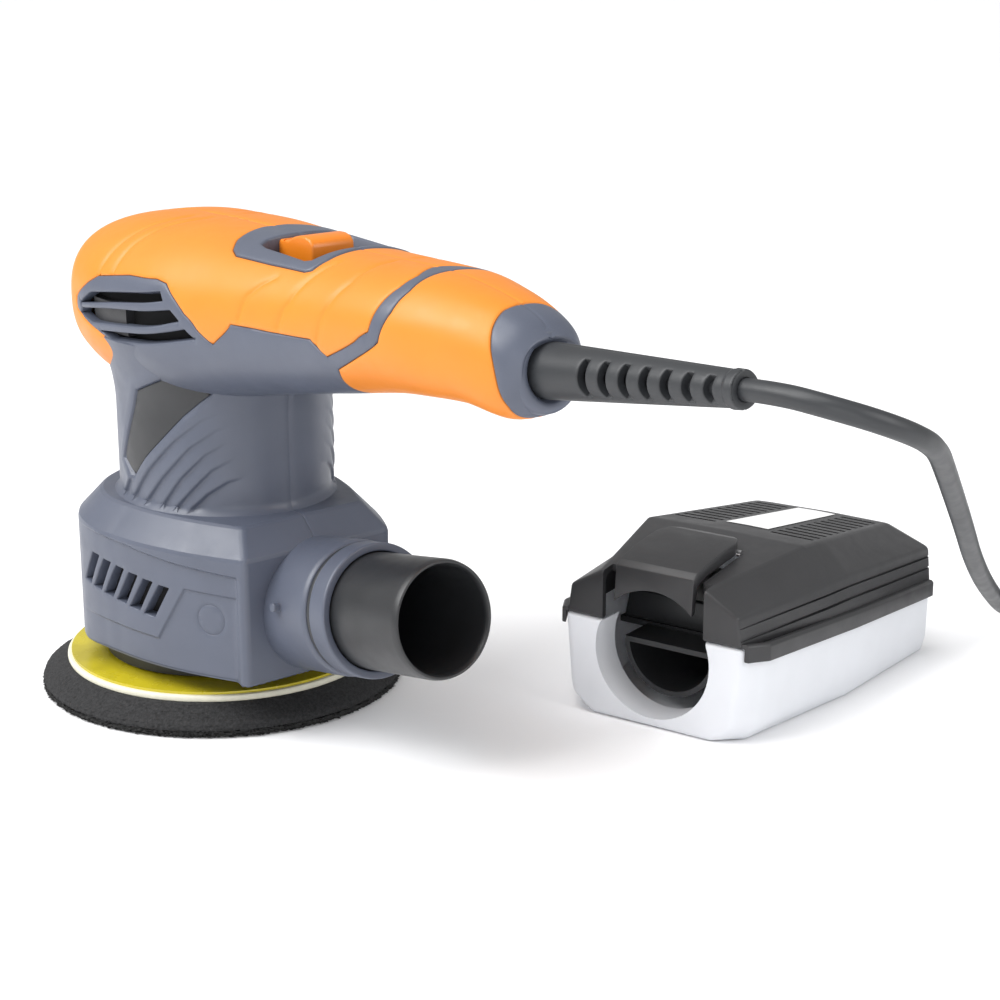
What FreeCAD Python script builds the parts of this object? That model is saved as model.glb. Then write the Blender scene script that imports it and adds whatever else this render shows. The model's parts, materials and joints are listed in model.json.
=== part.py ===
import FreeCAD, Part
import math
import os
import re
import Sketcher
from FreeCAD import Placement, Rotation, Vector

# Random-orbit palm and grip sander, 125 mm pad, with its dust box standing beside it.
# Frame: origin on the sanding face under the motor axis, +Z up the motor axis,
# +X to the rear along the handle, +Y to the tool's right-hand side. Millimetres.

doc = FreeCAD.newDocument("OrbitalSander")
sheet = doc.addObject("Spreadsheet::Sheet", "Sizes")

SIZES = {
    # pad
    "pad_radius": 62.5, "hook_height": 1.4, "foam_top": 10, "foam_top_radius": 55,
    "rim_radius": 54, "rim_width": 1.6, "rim_low": 9.2, "rim_high": 11.6,
    "plate_low": 10, "plate_high": 12.4, "boss_radius": 10, "boss_high": 17.6,
    "dust_hole_radius": 4.5, "dust_hole_ring": 32.5, "pad_centre_hole": 8,
    # drive
    "orbit_offset": 1.25, "orbit_bearing_radius": 13, "orbit_bearing_bore": 5,
    "orbit_bearing_low": 20, "orbit_bearing_high": 28, "fit_play": 0.04, "free_gap": 0.4,
    "eccentric_radius": 17.5, "eccentric_low": 19, "eccentric_high": 32,
    "weight_radius": 31, "weight_low": 24, "hub_radius": 9, "hub_high": 40,
    "fan_radius": 38, "fan_low": 41, "fan_web": 2, "fan_blade_height": 12, "fan_blade_width": 1.6,
    "shaft_radius": 4, "shaft_low": 33, "shaft_high": 138,
    # motor
    "lower_bearing_radius": 13, "lower_bearing_low": 62, "lower_bearing_height": 7,
    "upper_bearing_radius": 9.5, "upper_bearing_low": 129, "upper_bearing_height": 6,
    "stator_radius": 28, "stator_bore": 16.6, "stator_low": 80, "stator_high": 107,
    "armature_radius": 16, "winding_radius": 13.5, "winding_height": 6,
    "commutator_radius": 10, "commutator_low": 114.6, "commutator_high": 125,
    "brush_width": 6, "brush_height": 8, "brush_length": 13, "holder_wall": 1.2,
    "holder_length": 17, "bracket_low": 60, "bracket_high": 72, "bracket_eye": 8,
    "cradle_low": 84, "cradle_high": 103, "cap_half": 11, "cap_lip": 2,
    # casing
    "wall": 3, "grip_skin": 1.4, "fit_gap": 0.2,
    "base_low": 18.5, "base_shoulder": 58, "base_top": 69.5, "base_radius": 46.5,
    "base_rear": 61, "base_rear_half": 29, "base_bevel": 8,
    "neck_centre": 7.4, "neck_length_half": 38.6, "neck_width_half": 34.5, "neck_top": 116,
    "chamber_floor_height": 3, "badge_height": 0.7,
    "brake_ring_radius": 39, "brake_ring_width": 3.2, "brake_ring_low": 13.2,
    "vent_height": 4.4, "base_vent_low": 38, "base_vent_high": 50,
    # switch
    "switch_front": 22, "switch_rear": 86, "switch_half": 13, "switch_floor": 152,
    "slider_front": 47, "slider_rear": 73, "slider_half": 8, "slider_top": 163.4,
    "slider_travel": 6,
    # outlet and hose adapter, along an axis tilted up to the rear
    "outlet_tilt": 10, "outlet_foot": 41.7, "spout_radius": 22, "spout_length": 33,
    "spout_wall": 3, "seal_radius": 21.2, "seal_width": 2, "collar_radius": 21.6,
    "collar_length": 8, "adapter_radius": 18.6, "adapter_wall": 1.9, "adapter_start": 14,
    "adapter_end": 66.4, "slide_gap": 0.3,
    # cord gear
    "cord_radius": 3, "relief_start": 170, "relief_height": 138.1, "relief_tilt": 6,
    "relief_length": 77.8, "relief_root_radius": 8.4, "relief_tip_radius": 5,
    "coil_centre_x": 177, "coil_centre_y": 296, "coil_inner": 24, "coil_outer": 42,
    "coil_height": 18, "pin_radius": 2.4, "pin_length": 19, "pin_pitch": 19,
    "plug_length": 36, "plug_half": 17.5, "plug_thickness": 14, "relief_flange": 12,
    "relief_collar": 6,
    # dust box, in its own frame: mid front bottom edge, x across, y to its rear
    "box_x": 133.8, "box_y": 79.9, "box_turn": 15, "box_length": 125,
    "tray_height": 33.5, "tray_foot": 6, "rim_slope": 0.065,
    "tray_wall": 1.8, "mouth_radius": 21.5, "mouth_height": 24.6, "mouth_depth": 12,
    "duct_radius": 17.5, "duct_start": 12, "duct_end": 70, "duct_top": 25,
    "lid_gap": 0.3, "lid_wall": 2, "skirt_drop": 4, "skirt_wall": 1.6, "arch_half": 19,
    "latch_half": 14.6, "latch_end": 33, "latch_low": 40, "latch_pin_y": 31,
    "latch_pin_z": 54.6, "latch_pin_radius": 1, "latch_barrel": 2.2, "latch_gap": 0.8,
    "lid_pin_radius": 1.6, "lid_pin_y": 131, "lid_pin_z": 27, "knuckle_half": 11,
    "knuckle_radius": 3.4, "knuckle_gap": 0.4,
}

CORD_POINTS = [  # route of the free cord, from the strain relief to the coil
    (247.4, 0, 146.3), (259.3, 0, 147.3), (271, 3, 146), (280, 12, 142.5), (282.5, 25, 137),
    (277.5, 38.5, 130.5), (267, 55.5, 120), (254.5, 76, 106.5), (241, 99, 90), (227, 122, 73.5),
    (213, 146, 58), (199, 170, 44.5), (185.5, 193.5, 32), (173, 216, 21.5), (162, 236.5, 12.5),
    (153, 254.5, 6.5), (145.5, 271.5, 3.3), (139, 287.5, 3),
]
TAIL_POINTS = [  # from the top of the coil down to the plug
    (141, 296, 15), (141, 314, 14.4), (149, 334, 10.5), (161, 352, 7.6), (177, 361, 7),
]


def bind(text):
    """Spell an expression of size names as the sheet's cells."""
    return re.sub(r"[a-z][a-z_]+", r"Sizes.\g<0>", text)


def value(text):
    """The present number of an expression of size names."""
    return float(sheet.evalExpression(bind(text)))


def fill_sheet():
    for line, (alias, number) in enumerate(SIZES.items(), 1):
        sheet.set(f"A{line}", alias.replace("_", " "))
        sheet.set(f"B{line}", str(number))
        sheet.setAlias(f"B{line}", alias)
    doc.recompute()


# ---------------------------------------------------------------- modelling helpers

PARTS = []


def piece(item, name):
    """Mark an object as one physical piece of the tool."""
    item.Label = name
    PARTS.append(item)
    return item


def outline(body, plane_role, corners, name):
    """A closed straight-sided sketch whose every corner is tied to the sheet."""
    sketch = body.newObject("Sketcher::SketchObject", name)
    plane = next(f for f in body.Origin.OriginFeatures if f.Role == plane_role)
    sketch.AttachmentSupport = [(plane, "")]
    sketch.MapMode = "FlatFace"
    spots = [Vector(value(a), value(b), 0) for a, b in corners]
    count = len(spots)
    for i in range(count):
        sketch.addGeometry(Part.LineSegment(spots[i], spots[(i + 1) % count]))
    for i in range(count):
        sketch.addConstraint(Sketcher.Constraint("Coincident", i, 2, (i + 1) % count, 1))
    for i, corner in enumerate(corners):
        for kind, text, number in zip(("DistanceX", "DistanceY"), corner, spots[i]):
            index = sketch.addConstraint(Sketcher.Constraint(kind, -1, 1, i, 1, number))
            sketch.setExpression(f"Constraints[{index}]", bind(text))
    return sketch


def turned(name, corners, place=None):
    """A body of revolution about Z; corners are (radius, height) expressions."""
    body = doc.addObject("PartDesign::Body", name)
    sketch = outline(body, "XZ_Plane", corners, name + "_profile")
    spin = body.newObject("PartDesign::Revolution", name + "_turn")
    spin.Profile = sketch
    spin.ReferenceAxis = (sketch, ["V_Axis"])
    spin.Angle = 360
    if place:
        body.Placement = place
    return body


def slab(name, plane_role, corners, depth, middle=True, place=None):
    """A straight-sided plate, padded from an origin plane."""
    body = doc.addObject("PartDesign::Body", name)
    sketch = outline(body, plane_role, corners, name + "_outline")
    pad = body.newObject("PartDesign::Pad", name + "_pad")
    pad.Profile = sketch
    pad.SideType = "Symmetric" if middle else "One side"
    pad.setExpression("Length", bind(depth))
    if place:
        body.Placement = place
    return body


def primitive(kind, name, at=("0", "0", "0"), turn=None, **sizes):
    item = doc.addObject("Part::" + kind, name)
    for prop, text in sizes.items():
        item.setExpression(prop, bind(text))
    if turn:
        item.Placement = Placement(Vector(), turn)
    for word, text in zip("xyz", at):
        item.setExpression(f"Placement.Base.{word}", bind(text))
    return item


def block(name, low, high):
    """A box from its low and high corner expressions."""
    spans = [f"({b}) - ({a})" for a, b in zip(low, high)]
    return primitive("Box", name, low, Length=spans[0], Width=spans[1], Height=spans[2])


def rod(name, radius, at, height, turn=None):
    return primitive("Cylinder", name, at, turn, Radius=radius, Height=height)


def ring(name, outer, inner, low, high, centre="0"):
    """An upright tube, centred on (0, centre)."""
    tall = f"({high}) - ({low})"
    return minus(name, rod(name + "_outer", outer, ("0", centre, low), tall),
                 rod(name + "_bore", inner, ("0", centre, f"({low}) - 1"), f"{tall} + 2"))


def minus(name, base, *tools):
    cut = doc.addObject("Part::Cut", name)
    cut.Base = base
    cut.Tool = tools[0] if len(tools) == 1 else plus(name + "_tools", *tools)
    return cut


def plus(name, *shapes):
    fuse = doc.addObject("Part::MultiFuse", name)
    fuse.Shapes = list(shapes)
    return fuse


def shared(name, *shapes):
    both = doc.addObject("Part::MultiCommon", name)
    both.Shapes = list(shapes)
    return both


def group(name, *shapes):
    """Separate solids that are kept as one node, such as a set of screws."""
    bundle = doc.addObject("Part::Compound", name)
    bundle.Links = list(shapes)
    return bundle


def mirrored(name, source):
    """The same shape on the other side of the tool's middle plane."""
    twin = doc.addObject("Part::Mirroring", name)
    twin.Source = source
    twin.Normal = Vector(0, 1, 0)
    return twin


def form(name, shape, place=None):
    """A free-form solid made with Part's own functions."""
    item = doc.addObject("Part::Feature", name)
    item.Shape = shape
    if place:
        item.Placement = place
    return item


ALONG_X = Rotation(Vector(0, 1, 0), 90)
ALONG_Y = Rotation(Vector(1, 0, 0), -90)


# ---------------------------------------------------------------- casing forms

# Stations along the head and handle: x, underside, top, half width
HANDLE_STATIONS = [
    (-48, 129, 146, 12), (-43, 118.5, 153.5, 24.5), (-31, 110, 159, 34), (-8, 104.5, 162.5, 40.5),
    (20, 104.5, 163, 40), (54, 111, 162, 33.5), (92, 118, 161, 27.5), (130, 124.3, 160.6, 25),
    (150, 125.3, 158.2, 20.5), (165, 123.5, 154.5, 16.5), (177, 130.5, 147.5, 9.6),
]
SQUARENESS = 2.5  # exponent of the rounded sections
SECTION_STEPS = 6


def half_section(x, low, high, half):
    """Half of a section across the handle, between an ellipse and a rectangle, on the -Y side."""
    spots = []
    for k in range(SECTION_STEPS + 1):
        angle = math.pi * (k / SECTION_STEPS - 0.5)
        c, s = abs(math.cos(angle)), math.sin(angle)
        y = -half * (c if c > 1e-9 else 0) ** (2 / SQUARENESS)
        z = (high - low) / 2 * math.copysign(abs(s) ** (2 / SQUARENESS), s)
        spots.append(Vector(x, y, (high + low) / 2 + z))
    curve = Part.BSplineCurve()
    curve.interpolate(Points=spots, InitialTangent=Vector(0, -1, 0), FinalTangent=Vector(0, 1, 0))
    return Part.Wire([curve.toShape(), Part.LineSegment(spots[-1], spots[0]).toShape()])


def handle_half(inset):
    """The -Y half of the head and handle, shrunk evenly by the inset."""
    first, last = HANDLE_STATIONS[0][0], HANDLE_STATIONS[-1][0]
    middle = (first + last) / 2
    reach = (last - first) / 2
    wires = []
    for x, low, high, half in HANDLE_STATIONS:
        moved = middle + (x - middle) * (reach - inset) / reach
        wires.append(half_section(moved, low + inset, high - inset, half - inset))
    return Part.makeLoft(wires, True, False)


def handle_form(inset):
    half = handle_half(inset)
    return half.fuse(half.mirror(Vector(), Vector(0, 1, 0)))


def neck_form(inset, low, high):
    """The upright motor barrel, an oval standing on the base."""
    oval = Part.Ellipse(Vector(value("neck_centre"), 0, low),
                        value("neck_length_half") - inset, value("neck_width_half") - inset)
    face = Part.Face(Part.Wire([oval.toShape()]))
    return face.extrude(Vector(0, 0, high - low))


def base_plan(inset, height):
    """Plan of the fan housing: round in front, narrowing to a flat rear face."""
    radius = value("base_radius") - inset
    rear = value("base_rear") - inset
    half = value("base_rear_half") - inset * 0.8
    shoulder = Vector(rear * 0.55, half + (radius - half) * 0.62, height)
    left = [Vector(rear, half, height), shoulder, Vector(0, radius, height)]
    right = [Vector(p.x, -p.y, height) for p in left]
    nose = Vector(-radius, 0, height)
    edges = [
        Part.LineSegment(right[0], left[0]).toShape(),
        Part.Arc(*left).toShape(),
        Part.Arc(left[2], nose, right[2]).toShape(),
        Part.Arc(right[2], right[1], right[0]).toShape(),
    ]
    return Part.Wire(edges)


def base_form(inset, low):
    """The fan housing: straight sides, then a bevel up to the neck."""
    shoulder = value("base_shoulder") - inset * 0.5
    top = value("base_top") - inset
    straight = Part.makeLoft([base_plan(inset, low), base_plan(inset, shoulder)], True, True)
    bevel = Part.makeLoft([base_plan(inset, shoulder),
                           base_plan(inset + value("base_bevel"), top)], True, True)
    return straight.fuse(bevel).removeSplitter()


def casing_half(inset, base_low):
    """The -Y half of the whole casing: fan housing, motor barrel, head and handle."""
    side = Part.makeBox(400, 200, 400, Vector(-200, -200, -100))
    trunk = base_form(inset, base_low).fuse(
        neck_form(inset, value("base_shoulder"), value("neck_top"))).common(side)
    return trunk.fuse(handle_half(inset))


# ---------------------------------------------------------------- casing pieces

GRIP_FRONT = [  # side view of the front soft grip: x, height
    ("-60", "133"), ("-20", "140"), ("0", "145"), ("24", "148"), ("36", "146"), ("48", "132"),
    ("55", "131"), ("64", "139"), ("104", "140"), ("108", "135"), ("125", "145"),
    ("131", "151.5"), ("137", "158.5"), ("147", "167"), ("147", "180"), ("-60", "180"),
]
GRIP_REAR = [
    ("110", "118"), ("114", "129"), ("129", "142"), ("135.6", "152"), ("144", "159.5"),
    ("154", "167"), ("154", "180"), ("155.5", "180"), ("169", "110"), ("110", "110"),
]
BOSS_SPOTS = [("-33", "141"), ("100", "131"), ("148", "149.5"), ("50", "27.5")]
BOSS_RADIUS = "4"
SCREW_RADIUS = "1.6"
SCREW_HEAD_RADIUS = "3.2"
SCREW_SEAT = "15"
SCREW_TIP = "-10"


def casing_pieces():
    """Two shells split on the middle plane, with the soft grips let into them."""
    outside = form("casing_outside", casing_half(0, value("base_low")))
    hollow = form("casing_hollow", casing_half(value("wall"), value("base_low") - 5))
    grip_floor = form("grip_floor", handle_half(value("grip_skin")))
    zones = {
        "front_grip": slab("front_grip_zone", "XZ_Plane", GRIP_FRONT, "120"),
        "rear_grip": slab("rear_grip_zone", "XZ_Plane", GRIP_REAR, "120"),
    }
    switch_hole = block("switch_hole", ("switch_front", "-switch_half - fit_gap", "switch_floor - 2"),
                        ("switch_rear", "switch_half + fit_gap", "185"))
    bosses = shared("bosses", outside, plus("boss_rods", *[
        rod(f"boss_{i}", BOSS_RADIUS, (x, "-60", z), "60", ALONG_Y)
        for i, (x, z) in enumerate(BOSS_SPOTS)]))
    bores = [rod(f"screw_bore_{i}", SCREW_RADIUS, (x, SCREW_TIP + " - 1", z), "30", ALONG_Y)
             for i, (x, z) in enumerate(BOSS_SPOTS)]
    seats = [rod(f"screw_seat_{i}", SCREW_HEAD_RADIUS + " + 0.2", (x, SCREW_SEAT, z), "60", ALONG_Y)
             for i, (x, z) in enumerate(BOSS_SPOTS)]
    pockets = [minus(name + "_pocket", zone, grip_floor) for name, zone in zones.items()]
    shell = minus("shell", outside, hollow)
    ready = minus("shell_ready", plus("shell_with_bosses", shell, bosses), switch_hole,
                  *vent_cutters(), outlet_hole(), cord_hole())
    left = minus("casing_left", ready, *pockets)
    piece(minus("casing_left_bored", left, *bores), "housing_left")
    piece(minus("casing_right_bored", mirrored("casing_right", left), *bores, *seats),
          "housing_right")
    for name, zone in zones.items():
        soft = minus(f"{name}_skin", shared(f"{name}_block", outside, zone), grip_floor,
                     switch_hole)
        piece(soft, f"{name}_left")
        piece(minus(f"{name}_right_cut", mirrored(f"{name}_right_skin", soft), *seats),
              f"{name}_right")
    screws = [plus(f"screw_{i}",
                   rod(f"screw_shank_{i}", SCREW_RADIUS, (x, SCREW_TIP, z),
                       f"{SCREW_SEAT} - ({SCREW_TIP})", ALONG_Y),
                   rod(f"screw_head_{i}", SCREW_HEAD_RADIUS, (x, SCREW_SEAT, z), "2.4", ALONG_Y))
              for i, (x, z) in enumerate(BOSS_SPOTS)]
    piece(group("screw_set", *screws), "housing_screws")


def vent_cutters():
    """Three long slots on each cheek of the head, six short leaning ones low on the base."""
    cutters = []
    for row, height in enumerate((132, 126, 120)):
        low, high = f"{height} - vent_height / 2", f"{height} + vent_height / 2"
        cutters.append(block(f"head_slot_{row}", ("-30", "-60", low), ("36", "-14", high)))
    for column in range(6):
        x = -16 + 8 * column
        lean = [(f"{x}", "base_vent_low"), (f"{x + 4}", "base_vent_low"),
                (f"{x + 7}", "base_vent_high"), (f"{x + 3}", "base_vent_high")]
        cutters.append(slab(f"base_slot_{column}", "XZ_Plane", lean, "30",
                            place=Placement(Vector(0, -48, 0), Rotation())))
    return cutters


def outlet_place(distance=0.0):
    """The tilted axis of the dust outlet, some way along it."""
    tilt = math.radians(value("outlet_tilt"))
    along = Vector(math.cos(tilt), 0, math.sin(tilt))
    foot = Vector(value("base_rear"), 0, value("outlet_foot"))
    return Placement(foot + along * distance, Rotation(Vector(0, 0, 1), along))


def relief_place(distance=0.0):
    """The axis of the cord's strain relief."""
    tilt = math.radians(value("relief_tilt"))
    along = Vector(math.cos(tilt), 0, math.sin(tilt))
    foot = Vector(value("relief_start"), 0, value("relief_height"))
    return Placement(foot + along * distance, Rotation(Vector(0, 0, 1), along))


def outlet_hole():
    return turned("outlet_hole", [("0", "-12"), ("spout_radius + fit_gap", "-12"),
                                  ("spout_radius + fit_gap", "12"), ("0", "12")], outlet_place())


def cord_hole():
    return turned("cord_hole", [("0", "-6"), ("relief_root_radius + fit_gap", "-6"),
                                ("relief_root_radius + fit_gap", "20"), ("0", "20")],
                  relief_place())


def outlet_pieces():
    spout = [("spout_radius - spout_wall - 2", "-4"), ("spout_radius", "-4"),
             ("spout_radius", "spout_length - collar_length - seal_width"),
             ("seal_radius - 1", "spout_length - collar_length - seal_width"),
             ("seal_radius - 1", "spout_length - collar_length"),
             ("collar_radius", "spout_length - collar_length"), ("collar_radius", "spout_length"),
             ("adapter_radius + slide_gap", "spout_length"),
             ("adapter_radius + slide_gap", "adapter_start - slide_gap"),
             ("spout_radius - spout_wall - 2", "adapter_start - slide_gap")]
    piece(turned("spout_turned", spout, outlet_place()), "outlet_spout")
    seal = [("seal_radius - 1", "spout_length - collar_length - seal_width + 0.1"),
            ("seal_radius", "spout_length - collar_length - seal_width + 0.1"),
            ("seal_radius", "spout_length - collar_length - 0.1"),
            ("seal_radius - 1", "spout_length - collar_length - 0.1")]
    piece(turned("seal_turned", seal, outlet_place()), "outlet_seal")
    tube = [("adapter_radius - adapter_wall", "adapter_start"), ("adapter_radius", "adapter_start"),
            ("adapter_radius", "adapter_end"), ("adapter_radius - adapter_wall", "adapter_end")]
    piece(turned("adapter_turned", tube, outlet_place()), "hose_adapter")


def base_pieces():
    """The floor of the fan chamber, the pad's brake ring and the blank badge on the neck."""
    inset = value("wall") + value("fit_gap")
    low = value("base_low") + 0.5
    height = Vector(0, 0, value("chamber_floor_height"))
    plan = Part.Face(base_plan(inset, low)).extrude(height)
    plate = form("chamber_plan", plan)
    piece(minus("chamber_plate", plate,
                rod("chamber_opening", "brake_ring_radius - brake_ring_width - 1",
                    ("0", "0", "0"), "40")), "chamber_floor")
    piece(ring("brake_rubber", "brake_ring_radius", "brake_ring_radius - brake_ring_width",
               "brake_ring_low", "base_low + 0.5"), "brake_ring")
    badge = [("5", "107"), ("40", "119"), ("44", "112"), ("29", "100"), ("2", "79"), ("-3", "83")]
    skin = form("badge_skin", neck_form(-value("badge_height"), value("base_shoulder"), value("neck_top")))
    zone = slab("badge_zone", "XZ_Plane", badge, "60",
                place=Placement(Vector(0, -40, 0), Rotation()))
    core = form("badge_core", casing_half(0, value("base_low")))
    piece(minus("badge_cut", shared("badge_block", skin, zone), core), "name_plate")


# ---------------------------------------------------------------- motor and drive

def bearing(name, radius, bore, low, height, centre="0"):
    """Two races with a ring of balls between them."""
    middle = f"(({radius}) + ({bore})) / 2"
    ball = f"(({radius}) - ({bore})) / 4.4"
    lip = f"(({radius}) - ({bore})) / 3.6"
    high = f"({low}) + ({height})"
    parts = [ring(name + "_outer", radius, f"({radius}) - {lip}", low, high, centre),
             ring(name + "_inner", f"({bore}) + {lip}", bore, low, high, centre)]
    count = 8
    for k in range(count):
        angle = 2 * math.pi * k / count
        c, s = round(math.cos(angle), 5), round(math.sin(angle), 5)
        at = (f"{middle} * ({c})", f"{middle} * ({s}) + ({centre})", f"({low}) + ({height}) / 2")
        parts.append(primitive("Sphere", f"{name}_ball_{k}", at, Radius=ball))
    return group(name + "_set", *parts)


def motor_pieces():
    inset = value("wall") + value("fit_gap")
    neck = form("bracket_oval", neck_form(inset, value("bracket_low"), value("bracket_high")))
    low = "lower_bearing_low"
    high = "lower_bearing_low + lower_bearing_height"
    piece(minus("bracket_cut", neck, rod("bracket_hole", "bracket_eye", ("0", "0", "50"), "40"),
                rod("bracket_pocket", "lower_bearing_radius", ("0", "0", low),
                    "lower_bearing_height")), "bearing_bracket")
    cradle = form("cradle_oval", neck_form(inset, value("cradle_low"), value("cradle_high")))
    piece(minus("cradle_cut", cradle,
                rod("cradle_bore", "stator_radius", ("0", "0", "80"), "40")), "motor_cradle")
    cap = shared("cap_bar", form("cap_form", handle_form(inset)),
                 block("cap_block", ("-cap_half", "-60", "upper_bearing_low - cap_lip"),
                       ("cap_half", "60", "upper_bearing_low + upper_bearing_height + cap_lip")))
    piece(minus("cap_cut", cap,
                rod("cap_pocket", "upper_bearing_radius", ("0", "0", "upper_bearing_low"), "30"),
                rod("cap_eye", "shaft_radius + cap_lip", ("0", "0", "100"), "60")), "upper_bearing_cap")
    piece(bearing("lower_bearing", "lower_bearing_radius", "shaft_radius + fit_play", low,
                  "lower_bearing_height"), "lower_bearing")
    piece(bearing("upper_bearing", "upper_bearing_radius", "shaft_radius + fit_play",
                  "upper_bearing_low", "upper_bearing_height"), "upper_bearing")
    piece(ring("stator_core", "stator_radius", "stator_bore", "stator_low", "stator_high"),
          "motor_stator")
    piece(group("field_set",
                ring("field_low", "stator_radius - 1", "stator_bore + 1",
                     "stator_low - winding_height", "stator_low"),
                ring("field_high", "stator_radius - 1", "stator_bore + 1", "stator_high",
                     "stator_high + winding_height")), "field_coils")
    piece(rod("shaft_rod", "shaft_radius", ("0", "0", "shaft_low"), "shaft_high - shaft_low"),
          "motor_shaft")
    piece(ring("armature_stack", "armature_radius", "shaft_radius", "stator_low", "stator_high"),
          "armature_core")
    piece(group("armature_ends",
                ring("armature_low", "winding_radius", "shaft_radius",
                     "stator_low - winding_height", "stator_low"),
                ring("armature_high", "winding_radius", "shaft_radius", "stator_high",
                     "stator_high + winding_height")), "armature_windings")
    piece(ring("commutator_ring", "commutator_radius", "shaft_radius", "commutator_low",
               "commutator_high"), "commutator")
    brush_pieces()


def brush_pieces():
    """A carbon brush in a brass box on each side of the commutator."""
    middle = "(commutator_low + commutator_high) / 2"
    for side, sign in (("left", -1), ("right", 1)):
        start = "commutator_radius + 0.1"
        reach = f"{start} + brush_length"
        near = "commutator_radius + 1.5"
        far = "commutator_radius + 1.5 + holder_length"
        half, tall = "brush_width / 2", "brush_height / 2"
        grown_half, grown_tall = f"{half} + holder_wall", f"{tall} + holder_wall"

        def bar(name, across, low, high, up):
            ends = (low, high) if sign > 0 else (f"-({high})", f"-({low})")
            return block(name, (f"-({across})", ends[0], f"{middle} - ({up})"),
                         (across, ends[1], f"{middle} + ({up})"))
        piece(bar("brush_block_" + side, half, start, reach, tall), "brush_" + side)
        piece(minus("holder_cut_" + side,
                    bar("holder_out_" + side, grown_half, near, far, grown_tall),
                    bar("holder_in_" + side, half, near + " - 2", far + " - holder_wall", tall)),
              "brush_holder_" + side)


def rotor_pieces():
    """Fan and eccentric on the motor shaft, with the pad's bearing in the eccentric."""
    blades = []
    count = 12
    for k in range(count):
        spin = Rotation(Vector(0, 0, 1), 360 * k / count)
        blade = primitive("Box", f"blade_{k}", ("0", "0", "fan_low + fan_web"), spin,
                          Length="fan_radius - hub_radius + 1", Width="fan_blade_width",
                          Height="fan_blade_height")
        reach = spin.multVec(Vector(value("hub_radius") - 1, 0, 0))
        blade.setExpression("Placement.Base.x", f"{reach.x:.5f}")
        blade.setExpression("Placement.Base.y", f"{reach.y:.5f}")
        blades.append(blade)
    fan = plus("fan_solid", rod("fan_disc", "fan_radius", ("0", "0", "fan_low"), "fan_web"),
               rod("fan_hub", "hub_radius", ("0", "0", "fan_low"), "fan_web + fan_blade_height"),
               *blades)
    piece(minus("fan_cut", fan, rod("fan_bore", "shaft_radius", ("0", "0", "0"), "100")),
          "cooling_fan")
    weight = shared("weight_solid",
                    rod("weight_disc", "weight_radius", ("0", "0", "weight_low"),
                        "eccentric_high - weight_low"),
                    block("weight_half", ("-60", "-60", "0"), ("60", "-6", "60")))
    cup = rod("eccentric_cup", "eccentric_radius", ("0", "orbit_offset", "eccentric_low"),
              "eccentric_high - eccentric_low")
    hub = rod("eccentric_hub", "hub_radius", ("0", "0", "eccentric_high - 1"),
              "hub_high - eccentric_high + 1")
    piece(minus("eccentric_cut", plus("eccentric_solid", weight, cup, hub),
                rod("shaft_bore", "shaft_radius", ("0", "0", "shaft_low"), "40"),
                rod("orbit_pocket", "orbit_bearing_radius", ("0", "orbit_offset", "0"),
                    "orbit_bearing_high")), "eccentric_weight")
    piece(bearing("orbit_bearing", "orbit_bearing_radius", "orbit_bearing_bore",
                  "orbit_bearing_low", "orbit_bearing_high - orbit_bearing_low", "orbit_offset"),
          "orbit_bearing")


def pad_pieces():
    """The sanding pad turns freely on the eccentric's bearing."""
    place = Placement(Vector(0, value("orbit_offset"), 0), Rotation())
    count = 8

    def holes(name):
        rods = []
        for k in range(count):
            angle = 2 * math.pi * (k + 0.5) / count
            at = (f"dust_hole_ring * ({math.cos(angle):.5f})",
                  f"dust_hole_ring * ({math.sin(angle):.5f}) + orbit_offset", "-5")
            rods.append(rod(f"{name}_hole_{k}", "dust_hole_radius", at, "30"))
        return rods

    hook = [("pad_centre_hole", "0"), ("pad_radius - 0.3", "0"), ("pad_radius - 0.3", "hook_height"),
            ("pad_centre_hole", "hook_height")]
    piece(minus("hook_cut", turned("hook_turned", hook, place), *holes("hook")), "hook_face")
    foam = [("pad_centre_hole", "hook_height"), ("pad_radius", "hook_height"),
            ("pad_radius", "hook_height + 1.6"), ("foam_top_radius + 0.6", "rim_low"),
            ("rim_radius - rim_width", "rim_low"), ("rim_radius - rim_width", "foam_top"),
            ("pad_centre_hole", "foam_top")]
    piece(minus("foam_cut", turned("foam_turned", foam, place), *holes("foam")), "foam_pad")
    rim = [("rim_radius - rim_width", "rim_low"), ("rim_radius", "rim_low"),
           ("rim_radius", "rim_high"), ("rim_radius - rim_width", "rim_high")]
    piece(turned("rim_turned", rim, place), "plate_rim")
    plate = [("2.5", "plate_low"), ("rim_radius - rim_width", "plate_low"),
             ("rim_radius - rim_width", "plate_high"), ("boss_radius + 3", "plate_high"),
             ("boss_radius", "boss_high"), ("2.5", "boss_high")]
    piece(minus("plate_cut", turned("plate_turned", plate, place), *holes("plate")),
          "backing_plate")
    spindle = [("2.5", "boss_high"), ("boss_radius - 2", "boss_high"),
               ("boss_radius - 2", "orbit_bearing_low - 0.6"),
               ("orbit_bearing_bore - fit_play", "orbit_bearing_low - 0.6"),
               ("orbit_bearing_bore - fit_play", "orbit_bearing_high - 0.4"),
               ("2.5", "orbit_bearing_high - 0.4")]
    piece(turned("spindle_turned", spindle, place), "pad_spindle")
    screw = [("0", "plate_low - 3"), ("6", "plate_low - 3"), ("6", "plate_low"),
             ("2.5", "plate_low"), ("2.5", "orbit_bearing_high - 2"),
             ("0", "orbit_bearing_high - 2")]
    piece(turned("pad_screw_turned", screw, place), "pad_screw")


# ---------------------------------------------------------------- switch and wiring

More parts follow.
